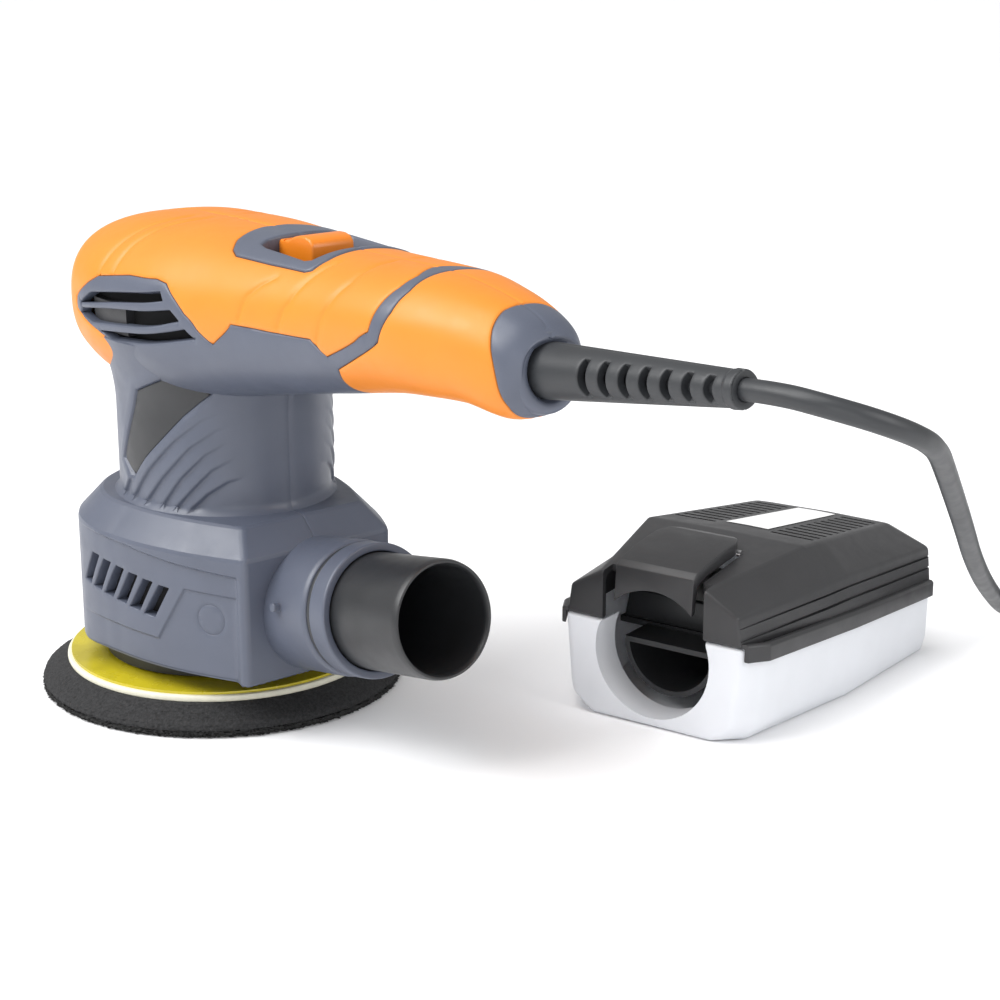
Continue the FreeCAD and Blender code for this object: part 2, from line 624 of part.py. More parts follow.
def switch_pieces():
    frame_box = block("surround_box", ("switch_front + fit_gap", "-switch_half", "switch_floor"),
                      ("switch_rear - fit_gap", "switch_half", "180"))
    slot = block("slider_slot", ("slider_front - slider_travel - free_gap",
                                 "-slider_half - free_gap", "100"),
                 ("slider_rear + free_gap", "slider_half + free_gap", "190"))
    piece(minus("surround_cut",
                shared("surround_block", form("surround_skin", handle_form(1.2)), frame_box), slot),
          "switch_surround")
    side = [("slider_front", "switch_floor + 1"), ("slider_rear", "switch_floor + 1"),
            ("slider_rear", "slider_top - 2.6"), ("slider_rear - 3", "slider_top"),
            ("slider_rear - 10", "slider_top"), ("slider_rear - 14", "slider_top - 2"),
            ("slider_front", "slider_top - 2.4")]
    thumb = slab("slider_thumb", "XZ_Plane", side, "slider_half * 2")
    stem = block("slider_stem", ("slider_rear - 16", "-2", "switch_floor - 2.6"),
                 ("slider_rear - 10", "2", "switch_floor + 2"))
    piece(plus("slider_solid", thumb, stem), "switch_slider")
    body = block("switch_body", ("34", "-7", "139"), ("68", "7", "switch_floor - 1"))
    groove = block("switch_groove", ("slider_rear - 16 - slider_travel - 1", "-3",
                                     "switch_floor - 4"), ("slider_rear - 9", "3", "170"))
    piece(minus("switch_cut", body, groove), "switch_block")
    piece(block("capacitor_block", ("70", "-8", "122"), ("92", "8", "134")), "capacitor")
    leads = [rod(f"lead_{i}", "1.1", ("68", y, "142.6"), "82", ALONG_X)
             for i, y in enumerate(("-3", "3"))]
    piece(group("lead_set", *leads), "inner_leads")
    piece(block("clamp_bar", ("153", "-11", "relief_height + 2"),
                ("160", "11", "relief_height + 5")), "cord_clamp")
    screws = [rod(f"clamp_screw_{i}", "1.4", ("156.5", y, "relief_height - 6"), "14")
              for i, y in enumerate(("-8", "8"))]
    piece(group("clamp_screw_set", *screws), "clamp_screws")


# ---------------------------------------------------------------- cord

def bent_path(points):
    """Straight runs joined by tangent arcs; prints the arc radii."""
    spots = [Vector(*p) for p in points]
    edges = []
    radii = []
    start = spots[0]
    for before, corner, after in zip(spots, spots[1:], spots[2:]):
        arrive, leave = corner - before, after - corner
        turn = arrive.getAngle(leave)
        cut = 0.45 * min(arrive.Length, leave.Length)
        radius = cut / math.tan(turn / 2)
        radii.append(round(radius, 1))
        inward, outward = arrive.normalize(), leave.normalize()
        enter, leave_at = corner - inward * cut, corner + outward * cut
        middle_way = (outward - inward).normalize()
        centre = corner + middle_way * (radius / math.cos(turn / 2))
        crest = centre - middle_way * radius
        edges.append(Part.LineSegment(start, enter).toShape())
        edges.append(Part.Arc(enter, crest, leave_at).toShape())
        start = leave_at
    edges.append(Part.LineSegment(start, spots[-1]).toShape())
    print("cord radii", radii)
    return Part.Wire(edges)


def swept_cord(name, points):
    path = bent_path(points)
    first = Vector(*points[1]) - Vector(*points[0])
    circle = Part.Circle(Vector(*points[0]), first, value("cord_radius"))
    solid = path.makePipeShell([Part.Wire([circle.toShape()])], True, True)
    expected = math.pi * value("cord_radius") ** 2 * path.Length
    print(name, "length", round(path.Length, 1), "volume ratio", round(solid.Volume / expected, 4))
    return form(name + "_sweep", solid)


def cord_pieces():
    relief = [("cord_radius + 0.1", "0"), ("relief_root_radius", "0"),
              ("relief_root_radius", "relief_flange"),
              ("relief_tip_radius + 0.8", "relief_length - relief_collar"),
              ("relief_tip_radius + 1.6", "relief_length - relief_collar"),
              ("relief_tip_radius + 1.6", "relief_length"), ("cord_radius + 0.1", "relief_length")]
    piece(turned("relief_turned", relief, relief_place()), "strain_relief")
    core = [("0", "-18"), ("cord_radius", "-18"), ("cord_radius", "relief_length"),
            ("0", "relief_length")]
    piece(turned("cord_core_turned", core, relief_place()), "cord_inner")
    piece(swept_cord("cord_lead", CORD_POINTS), "cord_lead")
    centre = ("coil_centre_x", "coil_centre_y", "0")
    piece(minus("coil_ring", rod("coil_outside", "coil_outer", centre, "coil_height"),
                rod("coil_inside", "coil_inner", ("coil_centre_x", "coil_centre_y", "-1"),
                    "coil_height + 2")), "cord_coil")
    piece(swept_cord("cord_tail", TAIL_POINTS), "cord_tail")
    plug_pieces()


def plug_pieces():
    """A flat two-pin plug lying on the floor beside the coil."""
    end, before = Vector(*TAIL_POINTS[-1]), Vector(*TAIL_POINTS[-2])
    way = Vector(end.x - before.x, end.y - before.y, 0).normalize()
    turn = Rotation(Vector(1, 0, 0), way)
    place = Placement(end, turn)
    near_side = [("0", "-5"), ("8", "-8"), ("12", "1.5 - plug_half"),
                 ("plug_length - 10", "-plug_half"), ("plug_length", "-plug_half")]
    far_side = [(along, f"-({across})") for along, across in reversed(near_side)]
    shell = slab("plug_plan", "XY_Plane", near_side + far_side, "plug_thickness", place=place)
    piece(shell, "plug_body")
    pins = []
    for i, side in enumerate((-0.5, 0.5)):
        foot = place.multVec(Vector(value("plug_length"), side * value("pin_pitch"), 0))
        pin = doc.addObject("Part::Cylinder", f"plug_pin_{i}")
        pin.setExpression("Radius", bind("pin_radius"))
        pin.setExpression("Height", bind("pin_length"))
        pin.Placement = Placement(foot, Rotation(Vector(0, 0, 1), way))
        pins.append(pin)
    piece(group("plug_pin_set", *pins), "plug_pins")


# ---------------------------------------------------------------- dust box

TRAY_PLANS = [  # height, then half widths at the front, shoulder, middle, rear and rear corner
    ("0", 22, 31, 40.5, 42.5, 36), ("tray_foot", 30, 36, 42, 44, 39),
    ("tray_height", 33, 37.5, 42, 44.5, 39.5),
]
RIM_OVERRUN = 5  # how far the hollow runs on above the rim, so that the tray is open
TRAY_STATIONS = (0, 8, 62, 119, 125)
LID_STATIONS = [  # y, rim half width, ridge half width and height, top half width, height, crown
    (0, 33, 31.5, 43.9, 19.6, 50.6, 51), (47, 40.7, 37.8, 43.4, 30.1, 55.8, 56.3),
    (62, 42, 39.4, 43, 29.3, 53.6, 54.1), (119, 44.5, 43.2, 39.4, 26.4, 45.3, 45.8),
    (125, 39.5, 38.5, 37.5, 24.5, 43.6, 44),
]


def box_place():
    return Placement(Vector(value("box_x"), value("box_y"), 0),
                     Rotation(Vector(0, 0, 1), value("box_turn")))


def rim_drop(y):
    """How far the line between tray and lid has come down at y; it falls to the rear."""
    return value("rim_slope") * y


def tray_plan(row, inset, height, grow=0.0):
    """A many-sided plan, mirror-symmetric about the box's middle plane."""
    side = []
    sloped = row is TRAY_PLANS[-1]
    inward = {TRAY_STATIONS[0]: inset - grow, TRAY_STATIONS[-1]: grow - inset}
    for y, half in zip(TRAY_STATIONS, row[1:]):
        y += inward.get(y, 0)
        side.append(Vector(half - inset + grow, y, height - (rim_drop(y) if sloped else 0)))
    other = [Vector(-p.x, p.y, p.z) for p in reversed(side)]
    loop = side + other
    return Part.makePolygon(loop + [loop[0]])


def tray_form(inset):
    """The outside of the tray, or with an inset its hollow, open at the top."""
    heights = [max(value(row[0]), inset) for row in TRAY_PLANS]
    if inset:
        heights[-1] += RIM_OVERRUN
    plans = [tray_plan(row, inset, height) for row, height in zip(TRAY_PLANS, heights)]
    lower = Part.makeLoft(plans[:2], True, True)
    return lower.fuse(Part.makeLoft(plans[1:], True, True)).removeSplitter()


def lid_section(station, inset):
    y, rim, ridge, ridge_z, top, top_z, crown = station
    base = value("tray_height") + value("lid_gap") - rim_drop(y)
    low = base if inset == 0 else base - 3
    first, last = LID_STATIONS[0][0], LID_STATIONS[-1][0]
    shift = inset if y == first else (-inset if y == last else 0)
    side = [(rim - inset, low), (ridge - inset, ridge_z - inset * 0.5),
            (top - inset * 0.6, top_z - inset)]
    loop = [Vector(x, y + shift, z) for x, z in side] + [Vector(0, y + shift, crown - inset)]
    loop += [Vector(-x, y + shift, z) for x, z in reversed(side)]
    return Part.makePolygon(loop + [loop[0]])


def lid_form(inset):
    return Part.makeLoft([lid_section(s, inset) for s in LID_STATIONS], True, True)


def skirt_form():
    """A thin apron from the lid down the outside of the tray's long sides."""
    low = value("tray_height") - value("skirt_drop")
    high = value("tray_height") + value("lid_gap") + 1.5
    gap = value("lid_gap")
    rim = TRAY_PLANS[-1]
    outer = Part.makeLoft([tray_plan(rim, 0, z, gap + value("skirt_wall")) for z in (low, high)],
                          True, True)
    inner = Part.makeLoft([tray_plan(rim, 0, z, gap) for z in (low - 1, high - 1.4)], True, True)
    return outer.cut(inner)


def cross_rod(name, radius, y, z, half):
    """A rod across the dust box, in the box's own frame."""
    return rod(name, radius, (f"-({half})", y, z), f"2 * ({half})", ALONG_X)


def mouth_rod(name, radius, y, length):
    return rod(name, radius, ("0", y, "mouth_height"), length, ALONG_Y)


def in_box(item, name):
    """Set a finished piece of the dust box down where the box stands."""
    holder = group(name + "_placed", item)
    holder.Placement = box_place()
    return piece(holder, name)


def dust_box_pieces():
    sleeve = shared("mouth_sleeve", mouth_rod("sleeve_out", "mouth_radius + tray_wall", "0.5",
                                              "mouth_depth"),
                    block("below_rim", ("-60", "0", "0.5"), ("60", "60", "tray_height")))
    tray_shell = minus("tray_shell", form("tray_outside", tray_form(0)),
                       form("tray_inside", tray_form(value("tray_wall"))))
    ears = shared("tray_ears", cross_rod("ear_rod", "knuckle_radius", "lid_pin_y", "lid_pin_z",
                                         "knuckle_half + 8"),
                  plus("ear_zone",
                       block("ear_left", ("-60", "90", "0"), ("-knuckle_half - knuckle_gap",
                                                              "150", "60")),
                       block("ear_right", ("knuckle_half + knuckle_gap", "90", "0"),
                             ("60", "150", "60"))))
    webs = [block(f"ear_web_{i}", (a, "box_length - 1", "20"), (b, "lid_pin_y", "25"))
            for i, (a, b) in enumerate((("-knuckle_half - 8", "-knuckle_half - knuckle_gap"),
                                        ("knuckle_half + knuckle_gap", "knuckle_half + 8")))]
    in_box(minus("tray_cut", plus("tray_solid", tray_shell, sleeve, ears, *webs),
                 mouth_rod("mouth_bore", "mouth_radius", "-5", "mouth_depth + 12"),
                 cross_rod("ear_bore", "lid_pin_radius", "lid_pin_y", "lid_pin_z", "40")),
           "dust_tray")
    duct_zone = block("duct_zone", ("-60", "duct_start", "0"), ("60", "duct_end", "duct_top"))
    duct = minus("duct_tube",
                 shared("duct_out", mouth_rod("duct_rod", "duct_radius", "0", "90"), duct_zone),
                 shared("duct_in", mouth_rod("duct_core", "duct_radius - tray_wall", "0", "90"),
                        block("duct_core_zone", ("-60", "duct_start - 1", "0"),
                              ("60", "duct_end - 6", "duct_top - tray_wall"))))
    plate = block("filter_plate", ("-28", "duct_start + 14", "duct_top - 1"),
                  ("28", "duct_end + 2", "duct_top + 1"))
    window = block("filter_window", ("-13", "duct_start + 20", "duct_top - 3"),
                   ("13", "duct_end - 8", "duct_top + 3"))
    in_box(minus("filter_cut", plus("filter_solid", duct, plate), window), "filter_frame")
    in_box(block("filter_paper", ("-24", "duct_start + 18", "duct_top + 1"),
                 ("24", "duct_end", "duct_top + 9")), "filter_element")
    in_box(cross_rod("lid_pin_rod", "lid_pin_radius", "lid_pin_y", "lid_pin_z",
                     "knuckle_half + 8"), "lid_hinge_pin")
    lid_pieces()


def lid_pieces():
    outside = form("lid_outside", lid_form(0))
    hollow = form("lid_inside", lid_form(value("lid_wall")))
    shell = minus("lid_shell", outside, hollow)
    apron = minus("lid_apron", form("skirt", skirt_form()), hollow,
                  block("apron_front", ("-80", "-5", "0"), ("80", "4", "60")),
                  block("apron_rear", ("-80", "box_length - 7", "0"), ("80", "150", "60")))
    knuckle = cross_rod("lid_knuckle", "knuckle_radius", "lid_pin_y", "lid_pin_z", "knuckle_half")
    strap = block("lid_strap", ("-knuckle_half", "box_length - 2", "lid_pin_z - 1"),
                  ("knuckle_half", "lid_pin_y", "lid_pin_z + knuckle_radius"))
    arch = block("lid_arch", ("-arch_half", "-5", "20"), ("arch_half", "6", "80"))
    slot = block("latch_slot", ("-latch_half - latch_gap", "-5", "20"),
                 ("latch_half + latch_gap", "latch_end + latch_gap", "80"))
    in_box(minus("lid_cut", plus("lid_solid", shell, apron, knuckle, strap), arch, slot,
                 mouth_rod("lid_mouth", "mouth_radius", "-5", "12"),
                 cross_rod("knuckle_bore", "lid_pin_radius + fit_play", "lid_pin_y", "lid_pin_z",
                           "30")), "dust_lid")
    label = shared("label_block", form("label_skin", lid_form(-0.5)),
                   block("label_zone", ("-8.5", "64", "40"), ("8.5", "115", "70")))
    in_box(minus("lid_label", label, form("label_core", lid_form(0))), "lid_label_plate")
    in_box(cross_rod("latch_pin_rod", "latch_pin_radius", "latch_pin_y", "latch_pin_z",
                     "latch_half + 3"), "latch_pin")
    side = [("-0.4", "latch_low"), ("2.2", "latch_low"), ("4.2", "52"),
            ("latch_end", "53.4"), ("latch_end", "57.4"), ("3", "54.6")]
    tongue = slab("latch_side", "YZ_Plane", side, "latch_half * 2")
    barrel = cross_rod("latch_barrel_rod", "latch_barrel", "latch_pin_y", "latch_pin_z",
                       "latch_half")
    in_box(minus("latch_cut", plus("latch_solid", tongue, barrel),
                 mouth_rod("latch_arch", "mouth_radius + 0.6", "-5", "12"),
                 cross_rod("latch_bore", "latch_pin_radius + fit_play", "latch_pin_y",
                           "latch_pin_z", "30")), "latch_tongue")


# ---------------------------------------------------------------- checks and output

def check_document():
    for item in doc.Objects:
        if "Invalid" in item.State or "Error" in item.State:
            raise RuntimeError(f"{item.Name} failed: {item.State}")
    for item in PARTS:
        if item.Shape.isNull() or not item.Shape.isValid() or item.Shape.Volume <= 0:
            raise RuntimeError(f"{item.Label} has no sound solid")


def export_parts():
    os.makedirs("parts", exist_ok=True)
    for item in PARTS:
        item.Shape.exportStep(f"parts/{item.Label}.step")
        print(f"{item.Label:22} solids {len(item.Shape.Solids)} volume {item.Shape.Volume:10.1f}")


fill_sheet()
casing_pieces()
outlet_pieces()
base_pieces()
motor_pieces()
rotor_pieces()
pad_pieces()
switch_pieces()
cord_pieces()
dust_box_pieces()
doc.recompute()
check_document()
export_parts()
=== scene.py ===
import json
import math

import bmesh
import bpy
import numpy as np
from mathutils import Matrix, Vector
from mathutils.geometry import delaunay_2d_cdt


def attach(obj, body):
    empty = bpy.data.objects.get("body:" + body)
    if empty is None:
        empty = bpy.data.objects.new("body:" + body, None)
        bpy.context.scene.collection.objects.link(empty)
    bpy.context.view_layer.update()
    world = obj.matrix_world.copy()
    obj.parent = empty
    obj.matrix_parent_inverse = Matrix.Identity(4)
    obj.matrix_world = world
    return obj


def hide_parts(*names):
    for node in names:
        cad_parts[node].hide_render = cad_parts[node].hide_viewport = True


# A random-orbit sander with its dust box. Sizes below are millimetres, turned into metres
# where a mesh is made; +X is the rear of the tool, +Z up, and -Y the side with the badge.

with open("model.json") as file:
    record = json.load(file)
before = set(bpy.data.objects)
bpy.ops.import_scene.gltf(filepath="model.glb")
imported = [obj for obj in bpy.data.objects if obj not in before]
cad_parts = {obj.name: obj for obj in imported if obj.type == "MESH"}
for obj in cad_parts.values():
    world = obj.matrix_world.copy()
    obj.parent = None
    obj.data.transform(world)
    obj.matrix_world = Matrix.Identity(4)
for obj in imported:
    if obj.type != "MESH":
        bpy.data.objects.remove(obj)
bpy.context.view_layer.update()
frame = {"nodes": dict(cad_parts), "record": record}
MM = 0.001


# -------- camera, light and floor

def hang(name, data, place, turn):
    holder = bpy.data.objects.new(name, data)
    holder.location = place
    holder.rotation_euler = turn
    bpy.context.collection.objects.link(holder)
    return holder


def make_stage():
    camera = hang("camera", bpy.data.cameras.new("camera"), (0.6072, -0.3817, 0.2681),
                  (math.radians(73.9), 0, math.radians(50)))
    camera.data.lens = 77.4
    camera.data.sensor_width = 36
    camera.data.clip_start = 0.01
    bpy.context.scene.camera = camera
    lamps = [  # name, place, aim, width, height, watts
        ("key_light", (-0.25, -0.8, 0.8), (0.05, 0.0, 0.09), 0.8, 0.5, 9),
        ("rear_light", (0.95, 0.35, 0.6), (0.1, 0.05, 0.08), 0.6, 0.6, 4),
        ("front_light", (1.0, -0.75, 0.35), (0.1, 0.0, 0.06), 0.6, 0.5, 2.5),
    ]
    for name, place, aim, width, height, watts in lamps:
        lamp = bpy.data.lights.new(name, "AREA")
        lamp.shape = "RECTANGLE"
        lamp.size, lamp.size_y = width, height
        lamp.energy = watts
        way = Vector(aim) - Vector(place)
        hang(name, lamp, place, way.to_track_quat("-Z", "Y").to_euler())
    sun = bpy.data.lights.new("sky_light", "SUN")
    sun.energy = 2.3
    sun.angle = math.radians(50)
    hang("sky_light", sun, (0, 0, 0), (math.radians(22), math.radians(-12), 0))
    world = bpy.data.worlds.new("studio")
    bpy.context.scene.world = world
    world.use_nodes = True
    sky = world.node_tree.nodes["Background"]
    sky.inputs["Color"].default_value = (1, 1, 1, 1)
    sky.inputs["Strength"].default_value = 0.5
    bpy.context.scene.view_settings.view_transform = "Standard"
    bpy.ops.mesh.primitive_plane_add(size=30, location=(0, 0, -0.0002))
    floor = bpy.context.active_object
    floor.name = "floor"
    floor.data.materials.append(plain("floor_white", (0.93, 0.93, 0.94), 0.6))


# -------- materials

def principled(name):
    material = bpy.data.materials.new(name)
    material.use_nodes = True
    return material, material.node_tree, material.node_tree.nodes["Principled BSDF"]


def plain(name, color, rough):
    material, _, shader = principled(name)
    shader.inputs["Base Color"].default_value = (*color, 1)
    shader.inputs["Roughness"].default_value = rough
    return material


def noise_node(tree, scale, detail=3.0):
    coords = tree.nodes.new("ShaderNodeTexCoord")
    texture = tree.nodes.new("ShaderNodeTexNoise")
    texture.inputs["Scale"].default_value = scale
    texture.inputs["Detail"].default_value = detail
    tree.links.new(coords.outputs["Object"], texture.inputs["Vector"])
    return texture.outputs["Fac"]


def ranged(tree, value, low, high):
    spread = tree.nodes.new("ShaderNodeMapRange")
    for socket, number in zip(("From Min", "From Max", "To Min", "To Max"),
                              (0.3, 0.7, low, high)):
        spread.inputs[socket].default_value = number
    tree.links.new(value, spread.inputs["Value"])
    return spread.outputs["Result"]


def finish(name, color, rough, grain=2500, depth=0.00003, tint=0.05, blotch=60, **sockets):
    """Moulded or machined surface: fine grain, faint blotches of colour and uneven gloss."""
    material, tree, shader = principled(name)
    mix = tree.nodes.new("ShaderNodeMix")
    mix.data_type = "RGBA"
    darker = tuple(c * (1 - tint) for c in color)
    lighter = tuple(min(1, c * (1 + tint)) for c in color)
    mix.inputs["A"].default_value = (*darker, 1)
    mix.inputs["B"].default_value = (*lighter, 1)
    tree.links.new(ranged(tree, noise_node(tree, blotch), 0, 1), mix.inputs["Factor"])
    tree.links.new(mix.outputs["Result"], shader.inputs["Base Color"])
    tree.links.new(ranged(tree, noise_node(tree, blotch * 2.7), rough - 0.04, rough + 0.05),
                   shader.inputs["Roughness"])
    bump = tree.nodes.new("ShaderNodeBump")
    bump.inputs["Distance"].default_value = depth
    bump.inputs["Strength"].default_value = 0.6
    tree.links.new(noise_node(tree, grain, 2), bump.inputs["Height"])
    tree.links.new(bump.outputs["Normal"], shader.inputs["Normal"])
    for socket, number in sockets.items():
        shader.inputs[socket.replace("_", " ")].default_value = number
    return material


FINISHES = {
    "grey_plastic": finish("grey_plastic", (0.078, 0.089, 0.122), 0.42, depth=0.00004),
    "orange_rubber": finish("orange_rubber", (0.68, 0.205, 0.012), 0.46, 3500, 0.00002, 0.03),
    "orange_plastic": finish("orange_plastic", (0.7, 0.19, 0.01), 0.34, 3500, 0.00001, 0.03),
    "black_plastic": finish("black_plastic", (0.017, 0.018, 0.02), 0.4, tint=0.1),
    "dark_grey_plastic": finish("dark_grey_plastic", (0.026, 0.026, 0.028), 0.42, tint=0.08),
    "black_rubber": finish("black_rubber", (0.022, 0.024, 0.027), 0.45, tint=0.1),
    "clear_plastic": finish("clear_plastic", (0.84, 0.86, 0.9), 0.42, 900, 0.00003, 0.02,
                            Transmission_Weight=0.22, IOR=1.45),
    "white_paper": finish("white_paper", (0.78, 0.78, 0.78), 0.6),
    "hook_fabric": finish("hook_fabric", (0.02, 0.02, 0.02), 0.9, 6000, 0.0002, 0.3, 800),
    "black_foam": finish("black_foam", (0.018, 0.018, 0.019), 0.9, 1500, 0.0008, 0.55, 1100),
    "cream_rubber": finish("cream_rubber", (0.66, 0.64, 0.52), 0.55, 1200, 0.0001, 0.06, 300),
    "yellow_plastic": finish("yellow_plastic", (0.47, 0.39, 0.015), 0.25, 600, 0.00004, 0.22, 45),
    "cast_metal": finish("cast_metal", (0.5, 0.5, 0.52), 0.5, 900, 0.0001, Metallic=1.0),
    "inner_plastic": finish("inner_plastic", (0.03, 0.03, 0.033), 0.5),
    "steel": finish("steel", (0.55, 0.55, 0.56), 0.3, 1500, 0.00003, Metallic=1.0),
    "copper": finish("copper", (0.6, 0.3, 0.14), 0.35, 1800, 0.0001, 0.2, 900, Metallic=1.0),
    "carbon": finish("carbon", (0.02, 0.02, 0.02), 0.6, 1500, 0.0001),
    "nickel_brass": finish("nickel_brass", (0.7, 0.68, 0.62), 0.22, Metallic=1.0),
}


# -------- making pieces

def dress(obj, slot, body, sharp=35):
    """Give an object its finish and its body, and shade it smooth between sharp edges."""
    if obj.name not in bpy.context.scene.objects:
        bpy.context.collection.objects.link(obj)
    obj.data.materials.clear()
    obj.data.materials.append(FINISHES[slot])
    if obj.type == "MESH":
        obj.data.polygons.foreach_set("use_smooth", [True] * len(obj.data.polygons))
        obj.data.set_sharp_from_angle(angle=math.radians(sharp))
    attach(obj, body)
    return obj


def mesh_of(name, part):
    """A mesh from (vertices in millimetres, faces)."""
    verts, faces = part
    mesh = bpy.data.meshes.new(name)
    mesh.from_pydata([tuple(v) for v in np.asarray(verts, float) * MM], [],
                     [[int(i) for i in f] for f in faces])
    return mesh


def solid(name, part, slot, body, node=None, sharp=35):
    """A piece made of (vertices, faces), which may take the place of a CAD node."""
    mesh = mesh_of(name, part)
    mesh.validate()
    piece = dress(bpy.data.objects.new(name, mesh), slot, body, sharp)
    if node:
        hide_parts(node)
    return piece


def merged(*parts):
    """Several (vertices, faces) as one."""
    verts, faces, base = [], [], 0
    for part_verts, part_faces in parts:
        verts.append(np.asarray(part_verts, float))
        faces += [[i + base for i in f] for f in part_faces]
        base += len(part_verts)
    return np.vstack(verts), faces


def flipped(part):
    """The same form on the other side of the middle plane."""
    verts, faces = part
    verts = np.array(verts) * (1, -1, 1)
    return verts, [list(reversed(f)) for f in faces]


def both(part):
    """A form together with its mirror twin."""
    return merged(part, flipped(part))


def resample(points, step, closed=True):
    spots = np.array(points, float)
    ends = np.roll(spots, -1, 0) if closed else spots[1:]
    rows = []
    for a, b in zip(spots, ends):
        count = max(1, math.ceil(np.linalg.norm(b - a) / step))
        rows += [a + (b - a) * k / count for k in range(count)]
    if not closed:
        rows.append(spots[-1])
    return np.array(rows)


def within(points, loop):
    """Even-odd test of many points against one closed loop."""
    x, y = points[:, 0], points[:, 1]
    odd = np.zeros(len(points), bool)
    for (x0, y0), (x1, y1) in zip(loop, np.roll(loop, -1, 0)):
        if y0 != y1:
            odd ^= ((y0 > y) != (y1 > y)) & (x < (x1 - x0) * (y - y0) / (y1 - y0) + x0)
    return odd


def nearest(points, starts, ends):
    """Distance of each point to the nearest of many segments."""
    best = np.full(len(points), 1e9)
    for a, b in zip(starts, ends):
        along = b - a
        share = np.clip((points - a) @ along / max(along @ along, 1e-12), 0, 1)
        best = np.minimum(best, np.linalg.norm(points - a - share[:, None] * along, axis=1))
    return best


def off_line(points, line):
    """Distance of each point to an open line."""
    return nearest(points, line[:-1], line[1:])


def ramp(depth, width):
    """A step from 0 to 1 that is spread over a width."""
    return np.clip(0.5 + depth / width, 0, 1)


def run_along(points):
    """Distance of each point of a line from its start, measured along the line."""
    return np.concatenate([[0], np.cumsum(np.linalg.norm(np.diff(points, axis=0), axis=1))])


def side_seam(width):
    """Distance to the middle plane, for a skin that runs from it round to it again."""
    return lambda points: np.minimum(points[:, 0], width - points[:, 0])


def disc(x, y, radius, count):
    """The points of a circle."""
    return [(x + radius * math.cos(a), y + radius * math.sin(a))
            for a in np.linspace(0, 2 * math.pi, count, endpoint=False)]


def beside(line, offset, closed):
    """Points a little to the left of a line."""
    if closed:
        along = np.roll(line, -1, 0) - np.roll(line, 1, 0)
    else:
        along = np.gradient(line, axis=0)
    along = along / np.maximum(np.linalg.norm(along, axis=1), 1e-9)[:, None]
    return line + offset * np.stack([-along[:, 1], along[:, 0]], 1)


def patch(outline, lift, holes=(), spacing=1.7, edge=0.7, wall=2.0, creases=(), relief=None,
          seam=None):
    """A skin over a flat region: lift(u, v) gives its surface, holes are cut through it, its
    borders are rounded off and turned inward, and relief(points) raises or sinks it.
    creases are lines (points, width) that get a finer mesh; seam(points) marks the plane
    where the two halves of the casing meet."""
    loops = [resample(outline, spacing)] + [resample(h, spacing * 0.6) for h in holes]
    starts = np.vstack(loops)
    ends = np.vstack([np.roll(loop, -1, 0) for loop in loops])
    low, high = loops[0].min(0), loops[0].max(0)
    rows = []
    for k, v in enumerate(np.arange(low[1], high[1] + spacing, spacing * 0.87)):
        row = np.arange(low[0] + (k % 2) * spacing / 2, high[0] + spacing, spacing)
        rows.append(np.stack([row, np.full(len(row), v)], 1))
    grid = np.vstack(rows)
    lines = [(resample(line, spacing * 0.6, False), width) for line, width in creases]

    def allowed(points):
        keep = within(points, loops[0])
        for hole in loops[1:]:
            keep &= ~within(points, hole)
        return keep

    keep = allowed(grid) & (nearest(grid, starts, ends) > edge + spacing * 0.4)
    for line, width in lines:
        keep &= off_line(grid, line) > width * 1.2 + spacing * 0.3
    points = [grid[keep]]
    for loop in loops:
        for share in (0.15, 0.5, 1.0):
            for side in (-1, 1):
                row = beside(loop, side * share * edge, True)
                near = nearest(row, starts, ends)
                points.append(row[(near > 0.85 * share * edge) & allowed(row)])
    for line, width in lines:
        for share in (-1.2, -0.7, -0.3, 0, 0.3, 0.7, 1.2):
            row = beside(line, share * width, False)
            keep = allowed(row) & (nearest(row, starts, ends) > edge * 1.1)
            if share:
                keep &= off_line(row, line) > abs(share) * width * 0.85
            points.append(row[keep])
    flat, links, base = list(starts), [], 0
    for loop in loops:
        links += [(base + k, base + (k + 1) % len(loop)) for k in range(len(loop))]
        base += len(loop)
    flat += [p for block in points for p in block]
    verts, _, faces, *_ = delaunay_2d_cdt([Vector(p) for p in flat], links, [], 0, 1e-4)
    spots = np.array([tuple(v) for v in verts])
    middles = np.array([spots[list(f)].mean(0) for f in faces])
    faces = [list(f) for f, good in zip(faces, allowed(middles)) if good]
    used = sorted({i for f in faces for i in f})
    number = {old: new for new, old in enumerate(used)}
    spots = spots[used]
    faces = [[number[i] for i in f] for f in faces]
    count = {}
    for f in faces:
        for a, b in zip(f, f[1:] + f[:1]):
            count[(a, b)] = count.get((a, b), 0) + 1
    rim = [(a, b) for a, b in count if (b, a) not in count]
    on_seam = seam(spots) < 1e-3 if seam else np.zeros(len(spots), bool)
    free = [(a, b) for a, b in rim if not (on_seam[a] and on_seam[b])]
    place, normal = surface(lift, spots)
    sink = np.zeros(len(spots))
    if free and edge:
        near = nearest(spots, spots[[a for a, _ in free]], spots[[b for _, b in free]])
        gap = np.clip(edge - near, 0, edge)
        sink += edge - np.sqrt(edge ** 2 - gap ** 2)
    if seam:
        sink += 0.22 * np.clip(1 - seam(spots) / 0.6, 0, 1) ** 2
    if relief is not None:
        sink -= relief(spots)
    outer = place - normal * sink[:, None]
    inner_of = {}
    inner = []
    for a, b in free:
        for i in (a, b):
            if i not in inner_of:
                inner_of[i] = len(spots) + len(inner)
                inner.append(place[i] - normal[i] * (wall + sink[i]))
    faces += [[b, a, inner_of[a], inner_of[b]] for a, b in free]
    if inner:
        outer = np.vstack([outer, inner])
    return outer, faces


